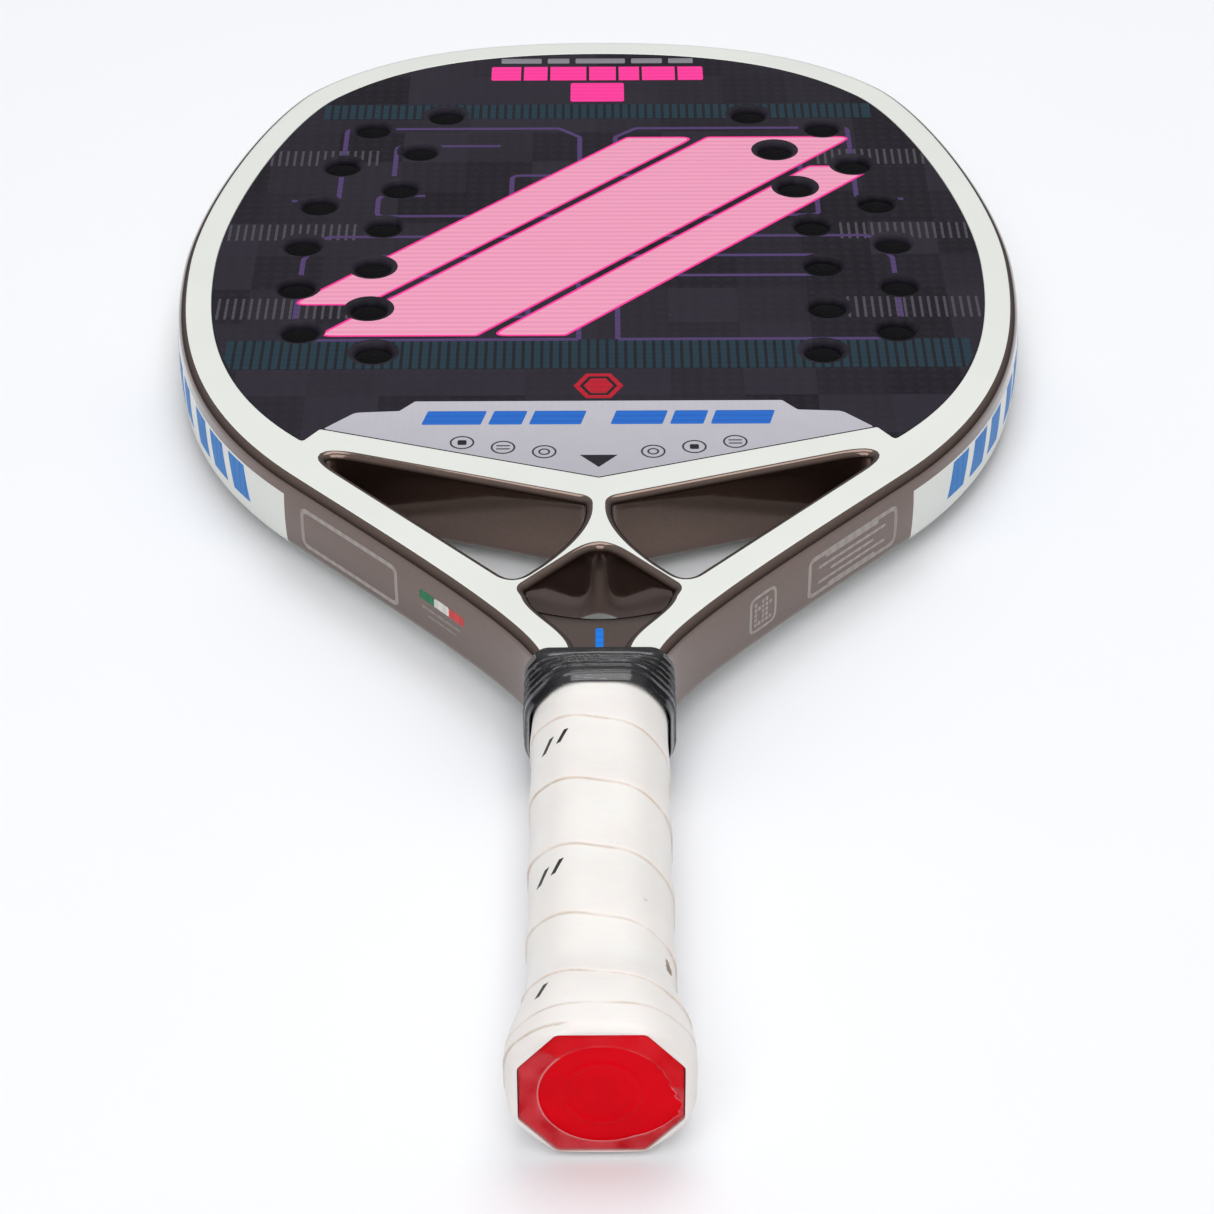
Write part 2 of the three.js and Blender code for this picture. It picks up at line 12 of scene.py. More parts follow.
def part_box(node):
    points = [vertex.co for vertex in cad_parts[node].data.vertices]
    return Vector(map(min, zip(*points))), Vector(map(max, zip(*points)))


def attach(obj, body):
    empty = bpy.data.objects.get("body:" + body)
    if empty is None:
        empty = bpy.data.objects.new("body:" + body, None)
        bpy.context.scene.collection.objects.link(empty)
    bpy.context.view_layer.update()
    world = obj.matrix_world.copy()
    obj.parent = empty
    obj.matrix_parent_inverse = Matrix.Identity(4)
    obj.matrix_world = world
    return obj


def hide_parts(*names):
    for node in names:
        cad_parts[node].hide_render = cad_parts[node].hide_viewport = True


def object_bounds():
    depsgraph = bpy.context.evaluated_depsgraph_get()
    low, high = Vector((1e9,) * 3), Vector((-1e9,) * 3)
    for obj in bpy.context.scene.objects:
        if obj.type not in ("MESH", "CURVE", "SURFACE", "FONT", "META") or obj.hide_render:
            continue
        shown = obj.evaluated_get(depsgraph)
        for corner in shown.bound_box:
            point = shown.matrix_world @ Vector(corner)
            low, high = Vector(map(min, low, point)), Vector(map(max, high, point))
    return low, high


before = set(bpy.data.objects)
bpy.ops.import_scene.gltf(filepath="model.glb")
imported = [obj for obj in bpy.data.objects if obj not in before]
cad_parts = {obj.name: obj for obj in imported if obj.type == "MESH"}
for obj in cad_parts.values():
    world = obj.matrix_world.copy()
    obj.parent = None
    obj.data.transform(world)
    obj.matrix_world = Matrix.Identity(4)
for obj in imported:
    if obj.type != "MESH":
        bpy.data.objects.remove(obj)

bl_info = {
    "name": "Beach tennis racket",
    "version": (1, 0, 0),
    "blender": (4, 5, 0),
    "location": "View3D > Sidebar > Racket",
    "description": "Lacquered frame, drilled faces, wrapped handle and studio of a beach tennis racket",
    "category": "Object",
}

# ------------------------------------------------------------------ the frame's measures

MM = 0.001
LOW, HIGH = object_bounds()
TUBE_LOW, TUBE_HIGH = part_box("frame_tube")
ORIGIN = np.array([0.0, LOW.y, (TUBE_LOW.z + TUBE_HIGH.z) / 2])

TIP = (HIGH.y - LOW.y) / MM
HALF_WIDTH = TUBE_HIGH.x / MM
HALF_DEPTH = (TUBE_HIGH.z - TUBE_LOW.z) / 2 / MM
HANDLE_TOP = (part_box("finishing_tape")[1].y - LOW.y) / MM
HEAD_FOOT = HANDLE_TOP + 79.5
WIDEST = HEAD_FOOT + 117.1
HIDDEN_END = HANDLE_TOP - 9  # where the frame and the web end inside the handle's wraps

SIDE_BAND = 9.5  # width of the white band beside the face
CROWN_BAND = 10.5  # and above it
PAINT_LINE = 226.5  # along the sides: white lacquer above, bronze below
THROAT_START = (HALF_WIDTH - 38, PAINT_LINE)
LEG_HALF_WIDTH = 16.8  # of the two legs together, where they enter the handle
HOLE_RADIUS = 5.0
# Columns of holes: how many, in from the face's side, up from its low point, down from its tip, lean
HOLE_COLUMNS = [(6, 24.3, 77.7, 54.3, 0.0), (7, 46.4, 65.8, 45.0, 3.4)]
WEB_HALF_DEPTH = 9.7
WEB_REACH = 20.1  # from the handle into the throat

INK = 0.04  # ink stands this much proud, and reaches down as far as INK_ROOT
INK_ROOT = -0.03
FILM = 0.06

WRAP_TOP = HANDLE_TOP - 15
WRAP_FOOT = 3.2
WRAP_HALF = (16.6, 16.0)
CAP_HALF = (17.4, 16.1)
FLATS = (0.536, 0.44)  # the octagon's flats as shares of its half width and half depth
FLARE = (0.247, 0.125)  # how much the grip widens and deepens at the butt
# Where the edge of the overgrip's strip crosses the top of the handle, turn by turn, and its pitch
TURN_EDGES = [-22.0, 2.0, 20.0, 39.8, 63.9, 88.1, 112.3, 136.5]
PITCH = 24.0
TAPE_EDGES = [-2, 2.4, 5.2, 8.4, 11, 13.8, 16.4, 22]  # the tape's layers, up from its foot
CAP_FACE = 0.62

# A wave texture of scale 1 / (WAVE_TURN x width) has bands of that width, and gaps as wide
WAVE_TURN = 6.28
# Nicks in the overgrip: middle, radius, how much of the felt shows
NICKS = ((15.4, 30.4, 8.6, 1.6, 0.95), (15.1, 32.0, 9.1, 1.3, 0.85), (10.6, 47.5, 14.8, 1.4, 0.35))
# Dashes printed on the overgrip: how far across and along
DASHES = ((-12.2, 106.6), (-8.8, 107.2), (-12.8, 58.6), (-9.6, 59.2), (-12.6, 17.0))
DASH_HALF = (0.55, 2.1)

# Studio, in metres, watts and degrees. The lamps: name, place, what they point at, size, power
LAMPS = (
    ("overhead", (0.1, 0.5, 1.7), (0, 0.1, 0), 1.1, 10.5),
    ("front", (-0.15, -1.35, 1.5), (0, -0.1, 0), 1.5, 15.3),
)
SKY = (0.16, 0.75, 0.16, 0.7)  # from this height to that one its strength goes from this to that
FLOOR_REACH = 12
CAMERA_PLACE = (0.00008, LOW.y - 0.527967, ORIGIN[2] + 0.485357)
CAMERA_TURN = (34.39, 0.150, -0.157)  # down, to the right, clockwise
CAMERA_LENS = 100.38


def metres(points):
    """Millimetres from the butt, the middle line and the middle plane, as the model's metres."""
    return np.asarray(points, float) * MM + ORIGIN


def linear(code):
    """An sRGB hex colour as linear values: over 12.92, or the power of 2.4 above the toe."""
    value = np.array([int(code[i : i + 2], 16) for i in (1, 3, 5)]) / 255
    value = np.where(value <= 0.04045, value / 12.92, ((value + 0.055) / 1.055) ** 2.4)
    return (*value.tolist(), 1.0)


# ------------------------------------------------------------------ curves and outlines


def bezier(points, count):
    """A cubic curve without its end: four points, weighed by the terms of (1 - t + t) cubed."""
    a, b, c, d = (np.array(p, float) for p in points)
    t = np.linspace(0, 1, count, endpoint=False)[:, None]
    return (1 - t) ** 3 * a + 3 * (1 - t) ** 2 * t * b + 3 * (1 - t) * t**2 * c + t**3 * d


def rounded(corners, steps=8):
    """A polygon with its corners (x, y, radius) replaced by short parabolic arcs."""
    points = []
    for i, (x, y, radius) in enumerate(corners):
        here = np.array([x, y], float)
        if radius == 0:
            points.append(here[None])
            continue
        before = np.array(corners[i - 1][:2], float) - here
        after = np.array(corners[(i + 1) % len(corners)][:2], float) - here
        before_length, after_length = np.linalg.norm(before), np.linalg.norm(after)
        before, after = before / before_length, after / after_length
        half = math.acos(np.clip(before @ after, -1, 1)) / 2
        reach = min(radius / math.tan(half), 0.49 * before_length, 0.49 * after_length)
        t = np.linspace(0, 1, steps + 1)[:, None]
        start, end = here + before * reach, here + after * reach
        points.append((1 - t) ** 2 * start + 2 * (1 - t) * t * here + t**2 * end)
    return np.concatenate(points)


def mirrored(half):
    """A closed outline from its right half, which runs down from the middle line."""
    left = half[half[:, 0] > 1e-6][::-1] * [-1, 1]
    return np.concatenate([half, left])


def area(loop):
    """Half the sum of the cross products of neighbouring points: positive if anticlockwise."""
    nxt = np.roll(loop, -1, 0)
    return 0.5 * float(np.sum(loop[:, 0] * nxt[:, 1] - nxt[:, 0] * loop[:, 1]))


def outward(loop):
    """Mitred outward direction at each point: the normals of its two edges, added and scaled."""
    step = np.roll(loop, -1, 0) - loop
    step = step / np.maximum(np.linalg.norm(step, axis=1, keepdims=True), 1e-9)
    normal = np.stack([step[:, 1], -step[:, 0]], 1) * np.sign(area(loop))
    both = normal + np.roll(normal, 1, 0)
    both = both / np.linalg.norm(both, axis=1, keepdims=True)
    return both / np.maximum(0.4, np.sum(both * normal, axis=1, keepdims=True))


def running(line):
    """The length run along a line up to each of its points."""
    return np.concatenate([[0], np.cumsum(np.linalg.norm(np.diff(line, axis=0), axis=1))])


def heading(line):
    """The direction of a line at each of its points, from the points before and after it."""
    step = np.gradient(line, axis=0)
    return step / np.linalg.norm(step, axis=1, keepdims=True)


def spaced(loop, count):
    """Points at equal distances round a closed line, read off its running length."""
    line = np.concatenate([loop, loop[:1]])
    run = running(line)
    at = np.linspace(0, run[-1], count, endpoint=False)
    return np.stack([np.interp(at, run, line[:, k]) for k in range(line.shape[1])], 1)


def crown(half_width, tip):
    """The upper part of a head outline: flat tip, round shoulder, side down to the widest line."""
    shares = [(0, 0), (0.417, 0), (0.61, 0.102), (0.743, 0.225), (0.859, 0.333), (1, 0.728), (1, 1)]
    at = [(across * half_width, tip - down * (tip - WIDEST)) for across, down in shares]
    return np.concatenate([bezier(at[:4], 30), bezier(at[3:], 30)])


def head_side():
    """Right half of the frame's outside, from the tip to where the throat begins."""
    x, y = THROAT_START
    pulls = [(HALF_WIDTH, WIDEST), (HALF_WIDTH, WIDEST - 50), (x + 26.7, y + 30), (x, y)]
    return np.concatenate([crown(HALF_WIDTH, TIP), bezier(pulls, 40)])


def throat_side(count=50):
    """The frame's outside down the right of the throat to the collar."""
    x, y = THROAT_START
    end = (LEG_HALF_WIDTH, HANDLE_TOP)
    return bezier([(x, y), (x - 22, y - 24.5), (end[0] + 6, end[1] + 16), end], count)


def frame_loop():
    """The frame's outside, closed below by a line inside the handle's wraps."""
    foot = [(LEG_HALF_WIDTH, HANDLE_TOP), (14.5, HIDDEN_END - 3)]
    return mirrored(np.concatenate([head_side(), throat_side(), np.array(foot, float)]))


def opening_side():
    """Right half of the face's outline, from the tip to the lower corner."""
    half = HALF_WIDTH - SIDE_BAND
    ear = (HALF_WIDTH - 41.7, HEAD_FOOT + 18.7)
    pulls = [(half, WIDEST), (half, WIDEST - 46), (ear[0] + 22.1, ear[1] + 22.4), ear]
    return np.concatenate([crown(half, TIP - CROWN_BAND), bezier(pulls, 40)])


def face_loop():
    """The face: the head opening, closed below by a V with a notch at each end."""
    ear, notch, low = (79.3, HEAD_FOOT + 18.7), (75.0, HEAD_FOOT + 25), (0.0, HEAD_FOOT)
    side = opening_side()
    turns = rounded([(*side[-1], 0), (*ear, 1.8), (*notch, 1.0), (*low, 0)])
    half = np.concatenate([side[:-1], turns])
    return mirrored(half)


def side_opening():
    """The long opening right of the centre strut: straight at bridge and leg, curved at the strut."""
    strut = bezier([(3.6, 211), (3.6, 203), (8.6, 193), (16.9, 182.9)], 16)
    corners = [(79.1, 241.2, 4.3), (21.8, 177.4, 5.0)]
    corners += [(*point, 0) for point in strut[::-1]] + [(3.6, 214.8, 3.2)]
    return rounded(corners, 12)


def arch_opening():
    """The diamond under the arch with the channel between the legs, down into the handle."""
    arm = bezier([(0, 192.8), (2.6, 192.6), (5.2, 190), (8.4, 186)], 10)
    lower = bezier([(17.6, 170.5), (16.4, 163), (6.3, 156), (5.6, 147)], 20)
    turn = rounded([(*arm[-1], 0), (19.0, 173.9, 2.2), (*lower[0], 0)], 10)
    half = np.concatenate([arm[:-1], turn, lower[1:], [(5.3, 144.0), (5.3, HIDDEN_END + 3)]])
    return mirrored(half)


def hole_centres():
    """Two columns of holes on each side, each hole set in from the side of the face at its height."""
    side = opening_side()[::-1]
    rows = []
    for count, inset, foot, top, bow in HOLE_COLUMNS:
        share = np.linspace(0, 1, count)
        y = HEAD_FOOT + foot + share * (TIP - CROWN_BAND - top - HEAD_FOOT - foot)
        x = np.interp(y, side[:, 1], side[:, 0]) - inset + bow * (2 * share - 1) ** 2
        rows.append(np.stack([x, y], 1))
    right = np.concatenate(rows)
    return np.concatenate([right, right * [-1, 1]])


def circle(centre, radius, count=40):
    """Points at equal angles round a centre."""
    angle = np.linspace(0, 2 * np.pi, count, endpoint=False)
    return np.asarray(centre) + radius * np.stack([np.cos(angle), np.sin(angle)], 1)


# ------------------------------------------------------------------ surfaces


def grid_faces(rows, columns, wrap_rows=False, wrap_columns=True):
    """Quads between neighbouring points of a grid that is numbered row by row."""
    i = np.arange(rows if wrap_rows else rows - 1)[:, None]
    j = np.arange(columns if wrap_columns else columns - 1)[None, :]
    k, m = (i + 1) % rows, (j + 1) % columns
    corners = [i * columns + j, i * columns + m, k * columns + m, k * columns + j]
    return np.stack(np.broadcast_arrays(*corners), -1).reshape(-1, 4)


def swept(loop, profile):
    """A profile of (distance outwards, height) carried round a loop of the plane."""
    profile = np.asarray(profile, float)
    plan = loop[None] + profile[:, :1, None] * outward(loop)[None]
    height = np.broadcast_to(profile[:, 1:2, None], (*plan.shape[:2], 1))
    points = np.concatenate([plan, height], 2).reshape(-1, 3)
    return points, grid_faces(len(profile), len(loop))


def edge_profile(radius, low, high, sign, guard=0.4, steps=7, bulge=0.0):
    """Flat rim, quarter round, wall and the same below, as (distance, height) from high to low.

    A distance is how far inwards a point lies for sign 1, or outwards for -1. The wall bulges by a
    parabola.
    """
    angle = np.linspace(0, np.pi / 2, steps + 1)
    upper = np.stack([radius * (1 - np.sin(angle)), high - radius * (1 - np.cos(angle))], 1)
    lower = np.stack([upper[::-1, 0], low + high - upper[::-1, 1]], 1)
    wall = np.linspace(high - radius, low + radius, 8)[1:-1]
    share = (2 * wall - high - low) / (high - low - 2 * radius)
    wall = np.stack([-bulge * (1 - share**2), wall], 1)
    rims = [[[radius + guard, high]], upper, wall, lower, [[radius + guard, low]]]
    return np.concatenate(rims) * [-sign, 1]


def painted(layers, within=None):
    """Triangles of overlapping outlines; each takes the number of the last one that it is in.

    The number -1 cuts a hole, and `within` is an outline that nothing may leave.
    """
    layers = [(within, -1), *layers] if within is not None else layers
    points, faces, start = [], [], 0
    for outline, _ in layers:
        outline = outline if area(outline) > 0 else outline[::-1]
        points.append(outline)
        faces.append(list(range(start, start + len(outline))))
        start += len(outline)
    flat = [Vector(p) for p in np.concatenate(points)]
    found = delaunay_2d_cdt(flat, [], faces, 1, 1e-5)
    kept = [inside and (within is None or 0 in inside) for inside in found[5]]
    inks = np.array([layers[max(inside)][1] if keep else -1 for inside, keep in zip(found[5], kept)])
    triangles = np.array(found[2])[inks >= 0]
    return np.array([tuple(p) for p in found[0]]), triangles, inks[inks >= 0]


def flat_part(loops, height):
    """The plane region inside the first loop and outside the others, at one height."""
    layers = [(loops[0], 0)] + [(loop, -1) for loop in loops[1:]]
    points, triangles, _ = painted(layers)
    return np.column_stack([points, np.full(len(points), height)]), triangles


def make_piece(name, parts, materials, replaces=(), values=None, sharp=32):
    """One object from parts (points in millimetres, faces, material number for each face or for all).

    The parts' shared rims are merged, faces are turned outwards, and edges sharper than `sharp`
    degrees stay sharp. `values` are numbers for each point, kept as attributes of the mesh.
    """
    counts = np.cumsum([0] + [len(part[0]) for part in parts])
    faces = [f for part, start in zip(parts, counts) for f in (np.asarray(part[1]) + start).tolist()]
    slots = [np.broadcast_to(part[2], (len(part[1]),)) for part in parts]
    mesh = bpy.data.meshes.new(name)
    mesh.from_pydata(metres(np.concatenate([part[0] for part in parts])).tolist(), [], faces)
    mesh.polygons.foreach_set("material_index", np.concatenate(slots).astype(np.int32))
    mesh.polygons.foreach_set("use_smooth", np.ones(len(faces), bool))
    for key, numbers in (values or {}).items():
        attribute = mesh.attributes.new(key, "FLOAT", "POINT")
        attribute.data.foreach_set("value", np.asarray(numbers, np.float32).ravel())
    work = bmesh.new()
    work.from_mesh(mesh)
    bmesh.ops.remove_doubles(work, verts=work.verts, dist=2e-6)
    bmesh.ops.recalc_face_normals(work, faces=work.faces)
    work.to_mesh(mesh)
    work.free()
    mesh.set_sharp_from_angle(angle=math.radians(sharp))
    for material in materials:
        mesh.materials.append(material)
    made = bpy.data.objects.new(name, mesh)
    bpy.context.scene.collection.objects.link(made)
    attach(made, "root")
    if replaces:
        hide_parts(*replaces)
    return made


def drilled_part(low, high, fillets, inset=0.12, edge=0.25):
    """A slab of the face's outline with its holes; `fillets` round the holes at the high, low side."""
    rim = face_loop()
    rim = rim - inset * outward(rim)
    guard = 0.1
    parts = [(*swept(rim, edge_profile(edge, low, high, 1, guard, 3)), 0)]
    tops = [[rim - (edge + guard) * outward(rim)] for _ in fillets]
    # Down through a hole: flat rim, quarter round, wall, quarter round, flat rim
    angle = np.linspace(0, np.pi / 2, 7)
    arc = np.stack([1 - np.sin(angle), 1 - np.cos(angle)], 1)
    upper = np.concatenate([[[fillets[0] + guard, high]], arc * fillets[0] * [1, -1] + [0, high]])
    lower = np.concatenate([[[fillets[1] + guard, low]], arc * fillets[1] + [0, low]])
    profile = np.concatenate([upper, lower[::-1]])
    for centre in hole_centres():
        ring = circle(centre, HOLE_RADIUS)
        parts.append((*swept(ring, profile), 0))
        for level, radius in zip(tops, fillets):
            level.append(ring + (radius + guard) * outward(ring))
    parts += [(*flat_part(tops[0], high), 0), (*flat_part(tops[1], low), 0)]
    return parts


# ------------------------------------------------------------------ materials


def node(tree, kind, inputs=(), output=0, **settings):
    """Adds a node with its settings and links, and gives back one of its outputs.

    `inputs` holds values or sockets of other nodes, in the order of the node's own sockets, or
    under their names or numbers.
    """
    made = tree.nodes.new("ShaderNode" + kind)
    for key, value in settings.items():
        setattr(made, key, value)
    for key, value in inputs.items() if isinstance(inputs, dict) else enumerate(inputs):
        if isinstance(value, bpy.types.NodeSocket):
            tree.links.new(value, made.inputs[key])
        else:
            made.inputs[key].default_value = value
    return made.outputs[output] if made.outputs else None


def empty_material(name):
    """A material without nodes, the function that adds them to it, and its Object coordinates."""
    made = bpy.data.materials.new(name)
    made.use_nodes = True
    made.node_tree.nodes.clear()
    add = partial(node, made.node_tree)
    return made, add, add("TexCoord", output="Object")


def finished(made, add, inputs, height, depth):
    """Ends a material: a bump `depth` millimetres deep, one Principled shader and the output."""
    normal = add("Bump", {"Height": height, "Distance": depth * MM})
    shader = add("BsdfPrincipled", {**inputs, "Normal": normal})
    add("OutputMaterial", {"Surface": shader})
    return made


def sized(at, size, **others):
    """Inputs of a pattern whose features are about `size` millimetres across."""
    return {"Vector": at, "Scale": 1 / (size * MM), **others}


def drift(add, at, size, low, high, detail=2.0):
    """Numbers that wander from `low` to `high` over clouds about `size` millimetres across."""
    cloud = add("TexNoise", sized(at, size, Detail=detail))
    return add("MapRange", (cloud, 0.35, 0.65, low, high))


def over(add, pattern, start, end, strength, below, above):
    """One colour laid over another: the pattern's rise from `start` to `end` gives 0 to `strength`."""
    share = add("MapRange", (pattern, start, end, 0.0, strength))
    return add("Mix", {0: share, 6: below, 7: above}, 2, data_type="RGBA")


def shade(colour, factor):
    """A colour property as shader input, lighter or darker by a factor."""
    return (*(min(1.0, channel * factor) for channel in colour), 1.0)


def clouded(add, at, size, colour, dark, light, detail=2.0):
    """A colour that drifts between two of its shades over clouds about `size` millimetres across."""
    cloud = add("TexNoise", sized(at, size, Detail=detail))
    return over(add, cloud, 0.35, 0.65, 1.0, shade(colour, dark), shade(colour, light))


def white_lacquer():
    """Two-pack polyurethane lacquer, sprayed and cured: warm grey white with faint orange peel."""
    made, add, at = empty_material("white_lacquer")
    inputs = {"IOR": 1.5, "Coat Weight": 0.35, "Coat Roughness": 0.1}
    inputs["Base Color"] = clouded(add, at, 45, bpy.context.scene.racket_colours.lacquer, 0.965, 1.0, 3)
    inputs["Roughness"] = drift(add, at, 12, 0.3, 0.38)
    peel = add("TexNoise", sized(at, 1.6))
    return finished(made, add, inputs, peel, 0.006)


def bronze_lacquer():
    """Bronze flake lacquer under a clear coat: a fine metal sparkle, drawn 0.6 mm wide so that it
    shows, and a sharp gloss that mirrors the floor."""
    made, add, at = empty_material("bronze_flake_lacquer")
    inputs = {"Metallic": 0.9, "Coat Weight": 0.7, "Coat Roughness": 0.03, "Coat IOR": 1.5}
    flake = add("TexVoronoi", sized(at, 0.6), "Color")
    grain = add("SeparateColor", (flake,))
    base = bpy.context.scene.racket_colours.bronze
    inputs["Base Color"] = over(add, grain, 0, 1, 1.0, shade(base, 0.93), shade(base, 1.07))
    inputs["Roughness"] = add("MapRange", (grain, 0.0, 1.0, 0.09, 0.13))
    waves = add("TexNoise", sized(at, 9.0))
    return finished(made, add, inputs, waves, 0.01)


def carbon_laminate():
    """Carbon cloth in epoxy with a matt grained coat: 20 mm patches of weave, 2 mm tows, dark grey."""
    made, add, at = empty_material("carbon_laminate")
    inputs = {"IOR": 1.5, "Specular IOR Level": 0.1}
    base = bpy.context.scene.racket_colours.laminate
    patch = add("VectorMath", (at, (0.02, 0.02, 1.0)), operation="SNAP")
    chance = add("TexWhiteNoise", {"Vector": patch})
    tows = [add("TexWave", sized(at, 2.0 * WAVE_TURN), "Fac", bands_direction=way) for way in "XY"]
    weave = add("Math", tows, operation="MULTIPLY")
    grain = add("TexNoise", sized(at, 0.7, Detail=3.0))
    tone = over(add, chance, 0.1, 0.9, 1.0, shade(base, 0.5), shade(base, 1.25))
    tone = over(add, weave, 0, 1, 0.22, tone, shade(base, 1.9))
    inputs["Base Color"] = over(add, grain, 0.45, 0.75, 0.3, tone, shade(base, 1.7))
    inputs["Roughness"] = drift(add, at, 25, 0.46, 0.58)
    height = add("Math", (weave, 0.4, grain), operation="MULTIPLY_ADD")
    return finished(made, add, inputs, height, 0.02)


def screen_ink():
    """Screen-printed ink under matt lacquer: each area's own colour, fine lines left by the mesh."""
    made, add, at = empty_material("screen_ink")
    inputs = {"IOR": 1.5, "Specular IOR Level": 0.15}
    ink = add("Attribute", output="Color", attribute_name="ink")
    lines = add("TexWave", sized(at, 1.3 * WAVE_TURN), "Fac", bands_direction="Y")
    thin = {0: 1.0, 6: ink, 7: linear("#F0E8EE")}
    thin = add("Mix", thin, 2, data_type="RGBA", blend_type="MULTIPLY")
    grain = add("TexNoise", sized(at, 0.5))
    tone = over(add, lines, 0.3, 0.9, 0.8, ink, thin)
    inputs["Base Color"] = over(add, grain, 0.5, 0.8, 0.25, tone, thin)
    inputs["Roughness"] = drift(add, at, 8, 0.42, 0.52)
    tooth = add("TexNoise", sized(at, 0.6))
    return finished(made, add, inputs, tooth, 0.01)


def silver_film():
    """Lilac-grey polyester film under lacquer: soft sheen, a painted reflection that darkens it towards
    its foot, and fine lines along the racket.
    """
    made, add, at = empty_material("lilac_film")
    inputs = {"IOR": 1.5, "Metallic": 0.12, "Coat Weight": 0.3}
    base = bpy.context.scene.racket_colours.film
    # Painted reflection: the film's colour is darker towards its foot and lighter up the racket
    height = add("SeparateXYZ", (at,), 1)
    low, high = ((HEAD_FOOT + y) * MM + ORIGIN[1] for y in (-5, 40))
    tone = over(add, height, low, high, 1.0, shade(base, 0.86), shade(base, 1.06))
    lines = add("TexWave", sized(at, 1.0 * WAVE_TURN), "Fac", bands_direction="X")
    inputs["Base Color"] = over(add, lines, 0, 1, 0.12, tone, shade(base, 0.9))
    inputs["Roughness"] = drift(add, at, 6, 0.32, 0.42)
    ripple = add("TexNoise", sized(at, 1.2))
    return finished(made, add, inputs, ripple, 0.006)


def cell_foam(name, colour, size, low, high):
    """Expanded closed-cell foam, cut: small open cells with painted shade in their hollows, and a dull
    surface.
    """
    made, add, at = empty_material(name)
    inputs = {"IOR": 1.45, "Roughness": drift(add, at, 4, low, high)}
    # Painted shade: the cells' hollows are painted darker than their rims, in the same pattern as their
    # bump
    cells = add("TexVoronoi", sized(at, size))
    light = shade(linear(colour)[:3], 1.35)
    inputs["Base Color"] = over(add, cells, 0, 0.8, 1.0, linear(colour), light)
    return finished(made, add, inputs, cells, 0.12)


def tacky_wrap():
    """Polyurethane overgrip on felt, pulled tight: warm white, soft, faint grain and wrinkles."""
    made, add, at = empty_material("polyurethane_overgrip")
    inputs = {"IOR": 1.48, "Subsurface Weight": 0.12, "Subsurface Scale": 0.002, "Coat Weight": 0.08}
    tone = clouded(add, at, 18, bpy.context.scene.racket_colours.wrap, 0.955, 1.0, 3)
    seam = add("Attribute", output="Fac", attribute_name="seam")
    broken = add("Math", (seam, drift(add, at, 8, 0.2, 0.85, 4)), operation="MULTIPLY")
    tone = over(add, broken, 0, 1, 1.0, tone, linear("#B4926C"))
    # A small nick that shows the brown felt, and a faint scuff above it
    frayed = add("TexNoise", sized(at, 0.9))
    for x, y, z, size, strength in NICKS:
        middle = tuple(metres([x, y, z]).tolist())
        away = add("VectorMath", (at, middle), "Value", operation="DISTANCE")
        ragged = add("Math", (frayed, 0.9 * MM, away), operation="MULTIPLY_ADD")
        fade = ((size + 0.25) * MM, (size + 0.55) * MM, strength, 0.0)
        spot = add("MapRange", (ragged, *fade))
        tone = over(add, spot, 0, 1, 1.0, tone, linear("#86694A"))
    inputs["Base Color"] = over(add, printed_dashes(add, at), 0, 1, 1.0, tone, linear("#2A2624"))
    inputs["Roughness"] = drift(add, at, 5, 0.42, 0.55)
    pull = add("Mapping", {"Vector": at, "Scale": (1.0, 3.2, 1.0)})
    wrinkles = add("TexNoise", sized(pull, 7, Detail=4.0, Roughness=0.6))
    grain = add("TexNoise", sized(at, 0.5))
    height = add("Math", (grain, 0.1, wrinkles), operation="MULTIPLY_ADD")
    return finished(made, add, inputs, height, 0.14)


def printed_dashes(add, at):
    """Mask of short slanted dashes printed once a turn on the strip, near the left of its top.

    A dash is where the slanted distance across and the distance along both lie within its half
    width and half length, on the upper side.
    """
    across, along, up = (add("SeparateXYZ", (at,), axis) for axis in range(3))
    total = 0.0
    for x, y in DASHES:
        beyond = add("Math", (along, y * MM + ORIGIN[1]), operation="SUBTRACT")
        slant = add("Math", (beyond, -0.45, across), operation="MULTIPLY_ADD")
        near = add("Math", (slant, x * MM, DASH_HALF[0] * MM), operation="COMPARE")
        within = add("Math", (beyond, 0.0, DASH_HALF[1] * MM), operation="COMPARE")
        total = add("Math", (near, within, total), operation="MULTIPLY_ADD")
    upper = add("Math", (up, ORIGIN[2]), operation="GREATER_THAN")
    return add("Math", (total, upper), operation="MULTIPLY")


def stretch_tape():
    """Black vinyl finishing tape, stretched on: high gloss with fine drawn wrinkles round the handle,
    whose crests carry painted highlights in pale lilac."""
    made, add, at = empty_material("vinyl_tape")
    inputs = {"IOR": 1.5, "Coat Weight": 0.42, "Coat Roughness": 0.08}
    drawn = add("Mapping", {"Vector": at, "Scale": (0.35, 3.0, 0.35)})
    creases = add("TexNoise", sized(drawn, 3.0, Detail=4.0, Roughness=0.65))
    tone = over(add, creases, 0.35, 0.65, 1.0, linear("#060608"), linear("#131317"))
    # Painted highlight: the crests of the wrinkle pattern are painted pale lilac, as streaks of
    # reflected light
    inputs["Base Color"] = over(add, creases, 0.58, 0.68, 0.55, tone, linear("#8A8492"))
    inputs["Roughness"] = drift(add, at, 2.5, 0.12, 0.26)
    return finished(made, add, inputs, creases, 0.12)


def red_plastic():
    """Injection-moulded ABS with a fine spark-eroded grain: saturated red, low gloss."""
    made, add, at = empty_material("red_moulded_abs")
    inputs = {"IOR": 1.52, "Specular IOR Level": 0.05}
    inputs["Base Color"] = clouded(add, at, 9, bpy.context.scene.racket_colours.cap, 0.93, 1.03)
    grain = add("TexNoise", sized(at, 0.35, Detail=3.0))
    inputs["Roughness"] = add("MapRange", (grain, 0.35, 0.65, 0.4, 0.52))
    return finished(made, add, inputs, grain, 0.02)


